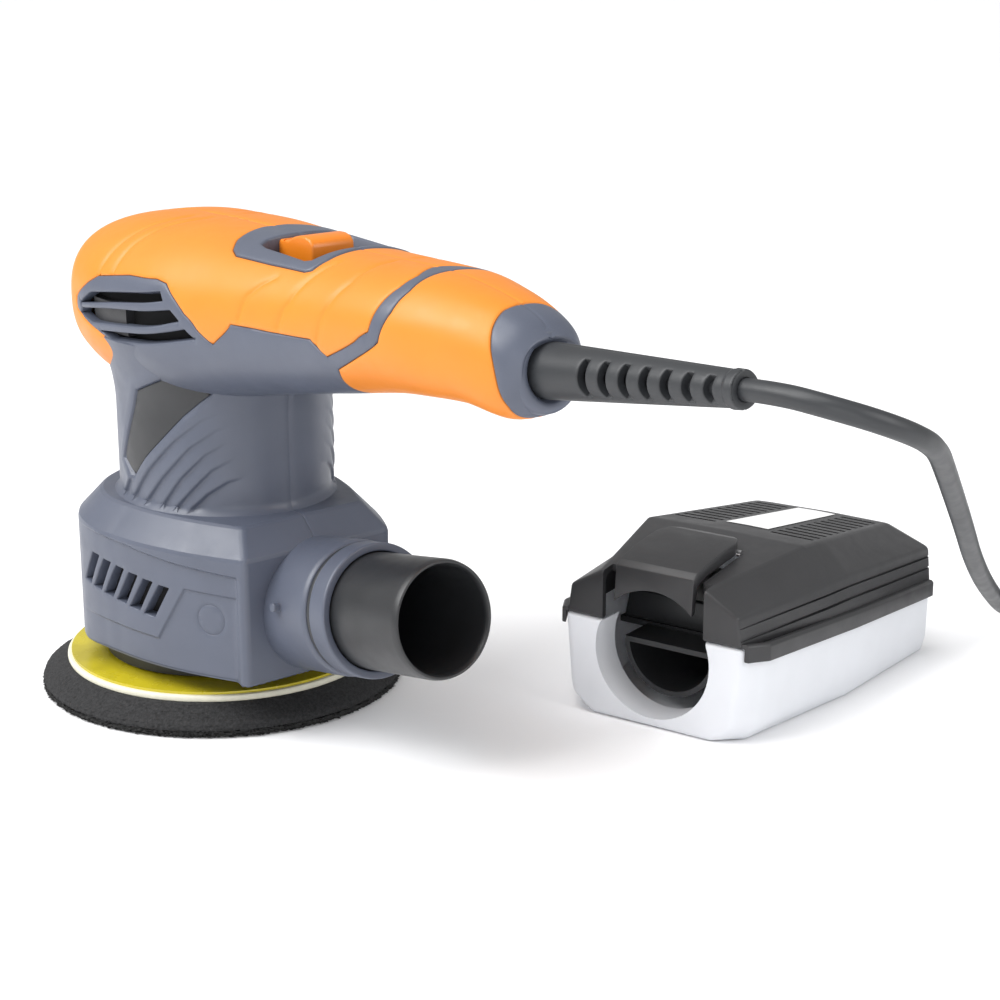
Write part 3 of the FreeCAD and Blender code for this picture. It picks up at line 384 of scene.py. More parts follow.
def surface(lift, spots):
    """Places and outward normals of a lifted region."""
    step = 0.05
    u, v = spots[:, 0], spots[:, 1]
    along = lift(u + step, v) - lift(u - step, v)
    across = lift(u, v + step) - lift(u, v - step)
    normal = np.cross(along, across)
    size = np.linalg.norm(normal, axis=1)
    normal /= np.maximum(size, 1e-12)[:, None]
    return lift(u, v), normal


def hermite(knots, values, at):
    """A smooth curve through rows of values that doesn't overshoot them."""
    knots, values = np.asarray(knots, float), np.asarray(values, float)
    span = np.diff(knots)
    slope = np.diff(values, axis=0) / span[:, None]
    grade = np.vstack([slope[:1], np.zeros_like(slope[1:]), slope[-1:]])
    first = (2 * span[1:] + span[:-1])[:, None]
    second = (span[1:] + 2 * span[:-1])[:, None]
    same = slope[:-1] * slope[1:] > 0
    safe = np.where(same, slope[:-1], 1), np.where(same, slope[1:], 1)
    grade[1:-1] = np.where(same, (first + second) / (first / safe[0] + second / safe[1]), 0)
    at = np.clip(at, knots[0], knots[-1])
    k = np.clip(np.searchsorted(knots, at) - 1, 0, len(span) - 1)
    t = ((at - knots[k]) / span[k])[:, None]
    width = span[k][:, None]
    return ((1 + 2 * t) * (1 - t) ** 2 * values[k] + t * (1 - t) ** 2 * width * grade[k]
            + t ** 2 * (3 - 2 * t) * values[k + 1] + t ** 2 * (t - 1) * width * grade[k + 1])


# -------- head and handle

HANDLE = np.array([  # x, underside, top, half width
    (-49.6, 137, 137, 0), (-48.6, 131, 144.5, 10), (-45, 122.5, 150.5, 20.5),
    (-38, 114.5, 156, 29), (-24, 108, 160.5, 37), (-4, 104.5, 162.7, 40.5),
    (20, 104.5, 163, 40), (54, 111, 162, 33.5), (92, 118, 161, 27.5),
    (130, 124.3, 160.6, 25), (150, 125.3, 158.2, 20.5), (165, 123.5, 154.5, 16.5),
    (170.5, 125, 152, 14.5), (175, 130, 147.8, 11),
], float)
SQUARENESS = 2.5
ALONG = run_along(HANDLE[:, [0, 2, 3]])
TABLE_U = np.linspace(0, ALONG[-1], 500)


def handle_section(u, t):
    """Place on the -Y half of the handle: u along it, t from underside 0 to top 1."""
    x, low, high, half = hermite(ALONG, HANDLE, np.asarray(u, float)).T
    angle = math.pi * (np.clip(t, 0, 1) - 0.5)
    c, s = np.clip(np.cos(angle), 0, 1), np.sin(angle)
    power = 2 / SQUARENESS
    y = -half * c ** power
    z = (high + low) / 2 + (high - low) / 2 * np.sign(s) * np.abs(s) ** power
    return np.stack([x, y, z], 1)


def girth_table():
    rows = [handle_section(TABLE_U, np.full(len(TABLE_U), t)) for t in np.linspace(0, 1, 60)]
    return sum(np.linalg.norm(b - a, axis=1) for a, b in zip(rows, rows[1:]))


GIRTH = girth_table()
TABLE_X = hermite(ALONG, HANDLE, TABLE_U)[:, 0]


def handle_lift(u, v):
    girth = np.maximum(np.interp(u, TABLE_U, GIRTH), 0.5)
    return handle_section(u, v / girth + 0.5)


def spot(x, y, z):
    """Flat place of a point on the handle's skin."""
    u = float(np.interp(x, TABLE_X, TABLE_U))
    _, low, high, half = hermite(ALONG, HANDLE, np.array([u]))[0]
    rise = (z - (high + low) / 2) / ((high - low) / 2)
    c = min(1.0, abs(y) / half) ** (SQUARENESS / 2)
    s = math.copysign(min(1.0, abs(rise)) ** (SQUARENESS / 2), rise)
    return u, math.atan2(s, c) / math.pi * float(np.interp(u, TABLE_U, GIRTH))


def seam_run(start, stop, side):
    """Flat places along the top (side 1) or underside (side -1) of the middle plane."""
    us = np.linspace(*np.interp([start, stop], TABLE_X, TABLE_U), 70)
    return [(u, side * np.interp(u, TABLE_U, GIRTH) / 2) for u in us]


def handle_seam(points):
    return np.interp(points[:, 0], TABLE_U, GIRTH) / 2 - np.abs(points[:, 1])


def spots(*rows):
    return [spot(*row) for row in rows]


NOSE, TAIL = HANDLE[0, 0], HANDLE[-1, 0]
GRIP_EDGE = spots(  # lower edge of the front grip, from its rear top to the neck's front
    (128.2, -10.3, 159.8), (128.6, -17, 157.2), (127.1, -21.5, 154.2), (124.1, -25.5, 144.8),
    (104.6, -26, 134.3), (97.5, -27, 138.5), (62.6, -32, 138.1), (57.8, -32.7, 133.5),
    (54.1, -33.1, 130.7), (42.7, -35.9, 138.9), (36.5, -36.4, 144.4), (33.2, -36, 147.3),
    (28.4, -36.4, 148.1), (14.3, -37.6, 147.5), (-3.7, -38.9, 145), (-9.3, -39.4, 142.4),
    (-20.4, -38, 135.5), (-19.5, -38.4, 131.8), (-4.1, -40.2, 127.2), (3.4, -39.6, 124.4),
    (7, -38, 121), (3, -35, 115), (-6, -28, 109.5), (-14, -14, 106))
REAR_EDGE = spots(  # front edge of the rear grip, from the underside up
    (105.4, -17.2, 123.6), (106.5, -22, 127), (108, -24.4, 130.8), (128.2, -25.2, 142.4),
    (131.9, -23, 151.3), (133.3, -17.4, 156.9), (131.8, -9, 160))
REAR_END = spots(  # rear edge of the rear grip, from the top down
    (162.4, -7.2, 154.6), (164.5, -13.2, 150.4), (166.4, -15.2, 145.1), (168.8, -14.8, 136.5),
    (170.2, -11.6, 129.6))
SURROUND = spots(
    (40.6, -5, 162.4), (43.1, -11.8, 161.7), (45.7, -17.2, 160.4), (50.1, -21.7, 158.4),
    (54.1, -23.3, 157.2), (71.1, -21.9, 156.6), (86.7, -20.5, 156.3), (88.9, -19.5, 156.9),
    (89.3, -13.7, 159.5), (88.5, -8.2, 160.6))
OPENING = spots(
    (55.4, -12, 161), (57, -15.5, 160.2), (61, -16.6, 159.8), (82, -16.9, 158.6),
    (84, -16, 159), (84.4, -13, 160))
SLOTS = [
    [(-16, -39, 134.5), (-7.4, -40.1, 139.3), (31.4, -37.3, 144.7), (33.2, -37.6, 141.9)],
    [(-16.4, -39, 131), (-15, -39, 133), (36.5, -37, 139.4), (40.5, -36.5, 136.2),
     (-7, -40.3, 129.4)],
    [(-1.5, -40.1, 127.3), (42.6, -35.9, 134), (46.8, -34.9, 131.4), (3.8, -39.7, 125)],
]
GRIP_RIBS = [  # faint raised lines over the front grip
    spots((66.3, -31.2, 140.3), (68.5, -29.5, 147), (72.6, -27.2, 151), (77, -25, 154)),
    spots((83.3, -28.5, 140.3), (85, -27.7, 145), (87.1, -26.9, 147.9), (92, -20.1, 156.3),
          (94, -14, 159)),
    spots((100.5, -26.8, 137.1), (103.1, -26.3, 146.1), (108.7, -19.9, 156.1),
          (108.5, -4.4, 160.8)),
    spots((-4.1, -39.1, 144.5), (-1.1, -32.1, 154.6), (1.9, -20.6, 160.5), (6, -9, 162.4)),
    spots((4.5, -38.4, 146.3), (6, -31.5, 155.2), (9, -19.7, 160.8), (14, -8, 162.6)),
]


def ridge(points, lines, width, height):
    """A low rounded ridge along each line, or a groove where the height is negative."""
    rise = np.zeros(len(points))
    for line in lines:
        line = resample(line, 2.0, False)
        near = off_line(points, line)
        rise += height * np.exp(-(near / width) ** 2)
    return rise


def front_grip():
    outline = seam_run(NOSE, 123.4, 1) + GRIP_EDGE + seam_run(-18, NOSE, -1)
    surround = seam_run(87.4, 40.2, 1) + SURROUND
    return patch(outline, handle_lift, [surround], seam=handle_seam,
                 creases=[(line, 1.2) for line in GRIP_RIBS],
                 relief=lambda p: ridge(p, GRIP_RIBS, 1.1, -0.45))


def rear_grip():
    outline = seam_run(130.8, 162, 1) + REAR_END + seam_run(169, 104.6, -1) + REAR_EDGE
    return patch(outline, handle_lift, seam=handle_seam)


def head_shell():
    """The grey plastic between the grips: vented cheek, belly, band and rear flange."""
    cheek = ([spot(-17.5, -20, 105.5)] + GRIP_EDGE[::-1] + seam_run(123.4, 130.8, 1)
             + REAR_EDGE[::-1] + seam_run(104.6, -18, -1))
    rear = seam_run(162, TAIL, 1) + seam_run(TAIL, 169, -1) + REAR_END[::-1]
    vents = [spots(*slot) for slot in SLOTS]
    return merged(patch(cheek, handle_lift, vents, seam=handle_seam, wall=3.0, edge=0.6),
                  patch(rear, handle_lift, seam=handle_seam))


def surround_skin():
    outline = seam_run(87.3, 40.4, 1) + SURROUND
    opening = seam_run(84.4, 55.4, 1) + OPENING
    lifted = patch(outline, handle_lift, [opening], seam=handle_seam, spacing=1.2, edge=0.9,
                   wall=5.0, relief=lambda p: np.full(len(p), 0.35))
    return both(lifted)


# -------- neck

NECK_CENTRE, NECK_LONG, NECK_WIDE = 7.4, 38.6, 34.5
NECK_LOW, NECK_HIGH = 69, 125.5
NECK_RADIUS = (NECK_LONG + NECK_WIDE) / 2
NECK_GIRTH = NECK_RADIUS * math.pi
BADGE = [(-2.4, 83.6), (5.7, 78.9), (12.5, 86.5), (20.4, 93.8), (28.6, 102.4), (33.5, 107),
         (37.4, 110.6), (37.8, 119.4), (24, 114.6), (10.5, 109)]


def neck_flare(z):
    top = 5.6 * np.clip((z - 100) / 25, 0, 1.1) ** 2
    foot = np.clip(3 - (z - 70), 0, 3)
    return top + 3 - np.sqrt(9 - foot ** 2)


def neck_lift(u, v):
    """u runs round the -Y side from the front to the rear, v is the height."""
    angle = u / NECK_RADIUS
    swell = neck_flare(v)
    return np.stack([NECK_CENTRE - (NECK_LONG + swell) * np.cos(angle),
                     -(NECK_WIDE + swell) * np.sin(angle), v], 1)


def neck_spot(x, z):
    reach = (NECK_CENTRE - x) / (NECK_LONG + float(neck_flare(z)))
    return NECK_RADIUS * math.acos(max(-1.0, min(1.0, reach))), z


def fan_of_ribs():
    """Grooves that sweep up from the neck's foot beside the badge."""
    return [[neck_spot(x, z) for x, z in line] for line in (
        [(-1, 72.4), (6.5, 81), (17, 91), (26, 99), (34, 104.5)],
        [(6.2, 72.5), (14.8, 82.8), (25.6, 94.1), (33.5, 101.5), (38.8, 105)],
        [(13.3, 72.3), (21.3, 81.8), (30.3, 92.4), (36.9, 98.4), (40, 100.3)],
        [(20.8, 72.4), (27.4, 82), (34.3, 90.3), (39.5, 94.7)],
        [(25.8, 72.3), (31.3, 79.3), (35.8, 85.3), (40.7, 89.3)],
        [(30.3, 71.9), (34.7, 77.3), (39.2, 81.4), (42.2, 82.8)])]


def rib_relief(points, lines):
    """Each rib is a step: proud on its upper side, fading on its lower side and to its tip."""
    rise = np.zeros(len(points))
    for line in lines:
        line = np.array(line)
        near = off_line(points, line)
        above = points[:, 1] > np.interp(points[:, 0], line[:, 0], line[:, 1])
        depth = np.where(above, near, -near)
        length = line[-1, 0] - line[0, 0]
        fade = np.clip((line[-1, 0] - points[:, 0]) / (0.6 * length), 0, 1)
        fade *= np.clip((points[:, 0] - line[0, 0] + 6) / 5, 0, 1)
        rise += fade * 0.95 * ramp(depth, 0.9) * np.exp(-np.clip(depth, 0, 9) / 4.5)
        rise -= fade * 0.35 * np.exp(-((depth + 0.9) / 1.1) ** 2)
    return rise


def neck_shell(badge):
    outline = [(0, NECK_LOW), (NECK_GIRTH, NECK_LOW), (NECK_GIRTH, NECK_HIGH), (0, NECK_HIGH)]
    lines = fan_of_ribs()
    plate = np.array([neck_spot(x, z) for x, z in BADGE])
    frame_line = np.vstack([plate, plate[:1]])

    def relief(points):
        rise = rib_relief(points, lines)
        if badge:
            near = off_line(points, frame_line)
            depth = np.where(within(points, plate), 1, -1) * near
            sunk = ramp(depth, 0.5)
            rise = rise * np.clip(-depth / 2.5, 0, 1) - 0.8 * sunk
            rise += 0.35 * (1 - sunk) * np.exp(-((depth + 1.6) / 1.0) ** 2)
        return rise
    return patch(outline, neck_lift, seam=side_seam(NECK_GIRTH), edge=0, wall=0.5,
                 relief=relief, creases=[(line, 1.0) for line in lines] + [(frame_line, 0.5)])


def badge_plate():
    """A blank satin label let into the side of the neck."""
    plate = np.array([neck_spot(x, z) for x, z in BADGE])
    middle = plate.mean(0)
    outline = middle + (plate - middle) * 0.975
    return patch(outline, neck_lift, edge=0.3, wall=0.8,
                 relief=lambda p: np.full(len(p), -0.35))


# -------- fan housing

BASE_LOW, BASE_SHOULDER, BASE_TOP, BASE_BEVEL = 18.5, 61.3, 70, 8.3
BASE_FRONT, BASE_HALF = 46.5, 46.5
BASE_REAR, BASE_REAR_HALF = 61, 28.5


def base_plan():
    """Outline of the fan housing on its -Y side, from the nose to the middle of its rear."""
    round_part = [(-BASE_FRONT * math.cos(a), -BASE_HALF * math.sin(a))
                  for a in np.linspace(0, math.radians(100), 34)]
    x, y = round_part[-1]
    control = (x + 26, y + 2)
    cheek = [((1 - t) ** 2 * x + 2 * t * (1 - t) * control[0] + t * t * BASE_REAR,
              (1 - t) ** 2 * y + 2 * t * (1 - t) * control[1] - t * t * BASE_REAR_HALF)
             for t in np.linspace(0, 1, 20)[1:]]
    corner = np.array(cheek[-1])
    before = corner + (np.array(cheek[-2]) - corner) * 0.5
    turn = [before * (1 - t) ** 2 + corner * 2 * t * (1 - t) + (corner + (0, 1.6)) * t * t
            for t in np.linspace(0, 1, 6)]
    return np.array(round_part + cheek[:-1] + [tuple(p) for p in turn] + [(BASE_REAR, 0)])


PLAN = base_plan()
PLAN_RUN = run_along(PLAN)
PLAN_LENGTH = PLAN_RUN[-1]
BASE_PROFILE = np.array([  # inset from the plan and height, from the foot to the top's middle
    (0.8, BASE_LOW), (0, BASE_LOW + 1.2), (0, BASE_SHOULDER - 0.9),
    (0.35, BASE_SHOULDER + 0.35), (BASE_BEVEL - 0.6, BASE_TOP - 0.7),
    (BASE_BEVEL + 0.6, BASE_TOP), (BASE_BEVEL + 18, BASE_TOP + 0.6)])
PROFILE_RUN = run_along(BASE_PROFILE)
FOOT_TURN = 0.24  # what the rounded foot adds to the way up the wall
CORNER_START = PLAN_RUN[-8]
CORNER_END = PLAN_RUN[-2]
SIDE_WAY = PLAN[-8] - PLAN[-9]
SIDE_IN = np.array((-SIDE_WAY[1], SIDE_WAY[0])) / np.hypot(*SIDE_WAY)
MITRE = (SIDE_IN + (-1, 0)) / (1 + SIDE_IN @ (-1, 0))


def plan_at(u):
    x = np.interp(u, PLAN_RUN, PLAN[:, 0])
    y = np.interp(u, PLAN_RUN, PLAN[:, 1])
    return x, y


def inward(u):
    """The way in from the plan; beside the rear corner it leans over to the corner's mitre."""
    x0, y0 = plan_at(u - 1.2)
    x1, y1 = plan_at(u + 1.2)
    size = np.maximum(np.hypot(x1 - x0, y1 - y0), 1e-9)
    way = np.stack([-(y1 - y0) / size, (x1 - x0) / size], 1)
    way[u <= 0.01] = (1, 0)
    side = u < CORNER_START
    near = np.clip(1 - np.where(side, CORNER_START - u, u - CORNER_END) / 11, 0, 1)
    close = side & (u > CORNER_START - 2)
    way[close] = SIDE_IN
    way[u > CORNER_END] = (-1, 0)
    way[side] += near[side, None] * (MITRE - SIDE_IN)
    rear = u > CORNER_END
    way[rear] += near[rear, None] * (MITRE - (-1, 0))
    way[~side & ~rear] = MITRE
    return way


def base_lift(u, v):
    """u runs round the plan, v up the wall, over the bevel and across the top."""
    x, y = plan_at(u)
    inset = np.interp(v, PROFILE_RUN, BASE_PROFILE[:, 0])
    z = np.interp(v, PROFILE_RUN, BASE_PROFILE[:, 1])
    level = np.minimum(inset, BASE_BEVEL + 0.6)
    place = np.stack([x, y], 1) + level[:, None] * inward(u)
    share = np.clip((inset - level) / 30, 0, 1)[:, None]
    place += share * (np.array((7.4, 0)) - place)
    return np.stack([place[:, 0], np.minimum(place[:, 1], 0), z], 1)


def wall_spot(x, z):
    """Flat place of a point on the fan housing's cheek, from its side view."""
    rear = np.argmax(PLAN[:, 0] > BASE_REAR - 0.2)
    run = float(np.interp(x, PLAN[:rear + 1, 0], PLAN_RUN[:rear + 1])) if x > -46 else 0.0
    return run, z - BASE_LOW + FOOT_TURN


BASE_VENTS = [[(-5.4 + 6.9 * k, 52.3 - 0.82 * k), (-1.2 + 6.9 * k, 52 - 0.82 * k),
               (-7.6 + 6.9 * k, 40.9 - 0.8 * k), (-12.4 + 6.9 * k, 41.3 - 0.8 * k)]
              for k in range(6)]


def base_shell():
    top = PROFILE_RUN[-1]
    outline = [(0, 0), (PLAN_LENGTH, 0), (PLAN_LENGTH, top), (0, top)]
    vents = [[wall_spot(x, z) for x, z in vent] for vent in BASE_VENTS]
    ledge = np.array([wall_spot(x, z) for x, z in
                      ((-14, 60.2), (-4.5, 60.4), (15.6, 59.3), (35.7, 57.1), (60.4, 55.3))])
    panel = np.array([wall_spot(x, z) for x, z in
                      ((-45, 66), (-45, 30.6), (1.2, 30.4), (28, 29.8), (39.4, 48.7),
                       (60.3, 48.2), (60.5, 66))])
    panel_line = panel[1:6]
    badge_at = np.array(wall_spot(48.4, 39.6))

    def relief(points):
        wall_part = points[:, 1] < PROFILE_RUN[2] + 0.5
        near = off_line(points, ledge)
        below = points[:, 1] < np.interp(points[:, 0], ledge[:, 0], ledge[:, 1])
        fade = np.clip((points[:, 0] - ledge[0, 0]) / 14, 0, 1)
        fade *= np.clip((CORNER_START + 0.6 - points[:, 0]) / 1.2, 0, 1) * wall_part
        depth = np.where(below, near, -near)
        rise = -1.0 * ramp(depth, 0.7) * fade
        edge = off_line(points, panel_line)
        inside = within(points, panel)
        fade = np.clip((points[:, 0] - wall_spot(-14, 30)[0]) / 14, 0, 1) * wall_part
        fade *= np.clip((CORNER_START - 0.5 - points[:, 0]) / 1.2, 0, 1)
        depth = np.where(inside, -edge, edge)
        rise -= 0.75 * ramp(depth, 0.6) * fade
        ring = np.abs(np.linalg.norm(points - badge_at, axis=1) - 5.1)
        return rise - 0.3 * np.exp(-(ring / 0.35) ** 2)
    ring_line = [badge_at + 5.1 * np.array((math.cos(a), math.sin(a)))
                 for a in np.linspace(0, 2 * math.pi, 40)]
    shoulder = [[(0, run), (PLAN_LENGTH, run)] for run in PROFILE_RUN[[1, 2, 3, 4, 5]]]
    uprights = [[(u, 0), (u, top)] for u in np.linspace(CORNER_START, CORNER_END, 4)]
    return patch(outline, base_lift, vents, seam=side_seam(PLAN_LENGTH), edge=0.5, wall=3.5,
                 relief=relief, creases=[(ledge, 0.6), (panel_line, 0.6), (ring_line, 0.35)]
                 + [(line, 0.5) for line in shoulder] + [(line, 0.25) for line in uprights])


def make_casing():
    solid("casing_left", merged(head_shell(), neck_shell(True), base_shell()), "grey_plastic",
          "housing", "housing_left")
    other = merged(head_shell(), neck_shell(False), base_shell())
    solid("casing_right", flipped(other), "grey_plastic", "housing", "housing_right")
    for name, part in (("front_grip", front_grip()), ("rear_grip", rear_grip())):
        solid(name + "_left_skin", part, "orange_rubber", "housing", name + "_left")
        solid(name + "_right_skin", flipped(part), "orange_rubber", "housing", name + "_right")
    # Near-black sheets sunk a few millimetres behind the vent slots of the head and the fan
    # housing: painted shade that keeps the slots dark inside.
    outline = spots((-22, -38, 131), (-14, -39, 143), (34, -37, 147), (52, -34, 131),
                    (46, -35, 126), (-2, -40, 121.5))
    behind = patch(outline, handle_lift, edge=0, wall=0.2,
                   relief=lambda p: np.full(len(p), -5.5))
    low_behind = patch([wall_spot(*at) for at in ((-18, 55), (40, 50), (34, 33), (-20, 37))],
                       base_lift, edge=0, wall=0.2, relief=lambda p: np.full(len(p), -5.0))
    shade_sheets = solid("vent_shade_sheets", both(merged(behind, low_behind)), "black_plastic",
                    "housing")
    # A near-black material of their own, darker than any plastic: painted shade.
    shade_sheets.data.materials[0] = plain("deep_shade", (0.003, 0.003, 0.004), 0.9)
    solid("switch_frame", surround_skin(), "grey_plastic", "housing", "switch_surround")
    solid("blank_badge", badge_plate(), "black_plastic", "housing", "name_plate")


# -------- turned pieces

def rounded(points, radius, steps=4):
    """An open line with its inner corners turned into small arcs."""
    points = [np.array(p, float) for p in points]
    line = [points[0]]
    for before, here, after in zip(points, points[1:], points[2:]):
        back, on = before - here, after - here
        reach = min(radius, np.linalg.norm(back) * 0.45, np.linalg.norm(on) * 0.45)
        start = here + back / np.linalg.norm(back) * reach
        stop = here + on / np.linalg.norm(on) * reach
        for t in np.linspace(0, 1, steps):
            line.append(start * (1 - t) ** 2 + here * 2 * t * (1 - t) + stop * t * t)
    return np.array(line + [points[-1]])


def turned(profile, place, radius=0.5, segments=96, wobble=None):
    """A profile of (radius, along) turned about an axis: place is its matrix in mm."""
    line = rounded(profile, radius)
    angles = np.linspace(0, 2 * math.pi, segments, endpoint=False)
    rings = []
    for r, along in line:
        reach = r + (wobble(angles, r, along) if wobble else 0)
        rings.append(np.stack([reach * np.cos(angles), reach * np.sin(angles),
                               np.full(segments, along)], 1))
    verts = np.vstack(rings)
    faces = []
    for k in range(len(line) - 1):
        for i in range(segments):
            j = (i + 1) % segments
            faces.append([k * segments + i, k * segments + j, (k + 1) * segments + j,
                          (k + 1) * segments + i])
    turn = np.array(place.to_3x3())
    return verts @ turn.T + np.array(place.translation), faces


def axis_place(foot, tilt):
    """An axis in the middle plane that climbs to the rear by tilt degrees."""
    return Matrix.Translation(foot) @ Matrix.Rotation(math.radians(90 - tilt), 4, "Y")


def block(low, high):
    """A box from corner to corner."""
    (x0, y0, z0), (x1, y1, z1) = low, high
    verts = [(x, y, z) for x in (x0, x1) for y in (y0, y1) for z in (z0, z1)]
    faces = [[0, 1, 3, 2], [4, 6, 7, 5], [0, 4, 5, 1], [2, 3, 7, 6], [0, 2, 6, 4], [1, 5, 7, 3]]
    return np.array(verts, float), faces


def prism(outline, low, high, axes=(0, 1, 2)):
    """An outline in two axes pulled from low to high along the third."""
    count = len(outline)
    verts = np.zeros((2 * count, 3))
    for k, (a, b) in enumerate(outline):
        verts[k, [axes[0], axes[1]]] = verts[k + count, [axes[0], axes[1]]] = (a, b)
        verts[k, axes[2]], verts[k + count, axes[2]] = low, high
    faces = [list(range(count))[::-1], list(range(count, 2 * count))]
    faces += [[k, (k + 1) % count, (k + 1) % count + count, k + count] for k in range(count)]
    return verts, faces


def shaped(name, part, slot, body, node=None, cuts=(), bevel=0.0, steps=3, place=None,
           soft_cuts=()):
    """A block-like piece: sides bevelled, then cut. soft_cuts are cut before the bevel."""
    def raw(label, form):
        mesh = mesh_of(label, form)
        work = bmesh.new()
        work.from_mesh(mesh)
        bmesh.ops.recalc_face_normals(work, faces=work.faces)
        work.to_mesh(mesh)
        work.free()
        item = bpy.data.objects.new(label, mesh)
        bpy.context.collection.objects.link(item)
        return item
    item = raw(name, part)
    tools = []

    def cut(form):
        tool = raw(f"{name}_tool_{len(tools)}", form)
        tools.append(tool)
        step = item.modifiers.new("cut", "BOOLEAN")
        step.operation = "DIFFERENCE"
        step.solver = "EXACT"
        step.object = tool
    for form in soft_cuts:
        cut(form)
    if bevel:
        edge = item.modifiers.new("bevel", "BEVEL")
        edge.width = bevel * MM
        edge.segments = steps
        edge.limit_method = "ANGLE"
        edge.angle_limit = math.radians(14)
    for form in cuts:
        cut(form)
    made = bpy.data.meshes.new_from_object(
        item.evaluated_get(bpy.context.evaluated_depsgraph_get()))
    for extra in tools + [item]:
        bpy.data.objects.remove(extra)
    piece = bpy.data.objects.new(name, made)
    if place is not None:
        made.transform(Matrix.Scale(1000, 4))
        made.transform(place)
        made.transform(Matrix.Scale(MM, 4))
    dress(piece, slot, body, 32)
    if node:
        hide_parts(node)
    return piece


# -------- outlet, relief and pad

PAD_OFFSET = 1.25  # the orbit: how far the pad's axis is from the motor's
OUTLET = axis_place((61, 0, 41.7), 10)
RELIEF = axis_place((170, 0, 138.1), 6)
RELIEF_FOOT, RELIEF_END = -6, 77.8
RELIEF_UNROLL = 7.0  # the radius at which its skin is laid out flat


def make_outlet():
    collar = turned([(17, -4), (22, -4), (22, 21.5), (21.3, 23), (20.2, 23), (20.2, 25),
                     (21.3, 25), (21.6, 25.6), (21.6, 32.4), (21.2, 33), (18.9, 33),
                     (18.9, 13.7), (17, 13.7)], OUTLET, 0.6, 128)
    peg = turned([(0, 24.6), (1.5, 24.6), (1.5, 22), (2.4, 21)],
                 OUTLET @ Matrix.Rotation(math.radians(-100), 4, "Z")
                 @ Matrix.Translation((0, 0, 9)) @ Matrix.Rotation(math.radians(90), 4, "Y"),
                 0.5, 24)
    solid("outlet_collar", merged(collar, peg), "grey_plastic", "housing", "outlet_spout")
    band = turned([(20, 23.1), (21.1, 23.1), (21.1, 24.9), (20, 24.9)], OUTLET, 0.6, 96)
    solid("seal_band", band, "black_rubber", "housing", "outlet_seal")
    tube = turned([(16.7, 14), (18.6, 14), (18.6, 64.6), (18.1, 66.4), (17.4, 66.4),
                   (16.7, 65), (16.7, 14.01)], OUTLET, 0.8, 128)
    solid("adapter_tube", tube, "black_plastic", "hose_adapter", "hose_adapter")


def relief_lift(u, v):
    """u runs down round the -Y side from the top, v along the relief."""
    half = np.interp(v, [RELIEF_FOOT, 0, 74, 74.8, 77.2, RELIEF_END],
                     [8.7, 8.3, 4.95, 5.3, 5.2, 4.8])
    angle = math.pi / 2 - u / RELIEF_UNROLL
    along = np.array(RELIEF.to_3x3() @ Vector((0, 0, 1)))
    up = np.array(RELIEF.to_3x3() @ Vector((-1, 0, 0)))
    foot = np.array(RELIEF.translation)
    return (foot + v[:, None] * along + (half * np.sin(angle))[:, None] * up
            + (half * np.cos(angle))[:, None] * np.array((0, -1, 0)))


def make_relief():
    width = RELIEF_UNROLL * math.pi
    outline = [(0, RELIEF_FOOT), (width, RELIEF_FOOT), (width, RELIEF_END), (0, RELIEF_END)]
    slots = []
    for k in range(7):
        at = 24.4 + 7.5 * k
        arc = np.linspace(-1, 1, 9)
        left = [(width / 2 + 5.6 * t, at - 1.6 + 1.2 * t * t) for t in arc]
        right = [(width / 2 + 5.6 * t, at + 1.4 + 0.4 * t * t) for t in arc[::-1]]
        slots.append(left + right)
    half = patch(outline, relief_lift, slots, spacing=1.1, edge=0.4, wall=2.2,
                 seam=side_seam(width),
                 creases=[([(0, v), (width, v)], 0.4) for v in (74.4, 77.4)])
    end = turned([(4.9, 77.7), (4.4, RELIEF_END), (3.05, RELIEF_END), (3.05, 70)], RELIEF, 0.3,
                 48)
    flange = turned([(8.2, 3.5), (9.2, 4.9), (10.8, 4.9), (12.2, 3.4), (12.6, 0.5), (13, -4)],
                    RELIEF, 1.2, 64)
    solid("cord_relief", merged(both(half), end), "black_rubber", "housing", "strain_relief")
    solid("relief_ring", flange, "grey_plastic", "housing")


def make_pad():
    place = Matrix.Translation((0, PAD_OFFSET, 0))
    rows, segments = 40, 720
    table = np.random.default_rng(3).normal(0, 1, (rows, segments))

    def fuzz(angles, r, along):
        """Ragged fibres on the rim, rougher on the hook layer than on the foam."""
        if r < 50:
            return 0
        row = table[int(along * 7) % rows]
        size = 0.45 if along < 2.5 else 0.14
        slow = 0.25 * np.sin(angles * 3 + 1) if along < 2.5 else 0
        return size * row - abs(size) + slow
    skin = [(8, 0.02), (61.5, 0.02), (62, 0.5), (62.3, 1.0), (62.3, 1.7), (62.4, 2.3)]
    foam = [(62.2, 2.5), (62.5, 3.2), (61.9, 4.4), (60.3, 5.4), (58.9, 6.3), (57.4, 7.2),
            (55.9, 8.1), (54.8, 9.0), (53.4, 9.4), (51, 9.4)]
    solid("hook_layer", turned(skin, place, 0.1, segments, fuzz), "hook_fabric",
          "sanding_pad", "hook_face", 60)
    soft = solid("foam_disc", turned(foam, place, 0.3, segments, fuzz), "black_foam",
                 "sanding_pad", "foam_pad", 60)
    rim = turned([(51, 9.3), (53.6, 9.3), (53.8, 10.4), (53.6, 11.5), (51.2, 11.5)], place,
                 0.7, 160)
    solid("rim_ring", rim, "cream_rubber", "sanding_pad", "plate_rim")


def make_slider():
    side = [(47, 153), (73, 153), (73, 161), (71.6, 162.6), (69, 163.35), (66, 163.35),
            (62.6, 162.5), (60, 161.2), (54, 160.9), (47.4, 161.1)]
    ribs = [prism([(49.6 + 2.6 * k, 160.6), (50.4 + 2.6 * k, 160.6), (50.4 + 2.6 * k, 163),
                   (49.6 + 2.6 * k, 163)], -9, 9, (0, 2, 1)) for k in range(4)]
    shaped("thumb_slide", prism(side, -8, 8, (0, 2, 1)), "orange_plastic", "slider",
           "switch_slider", cuts=ribs, bevel=0.9)


# -------- dust box

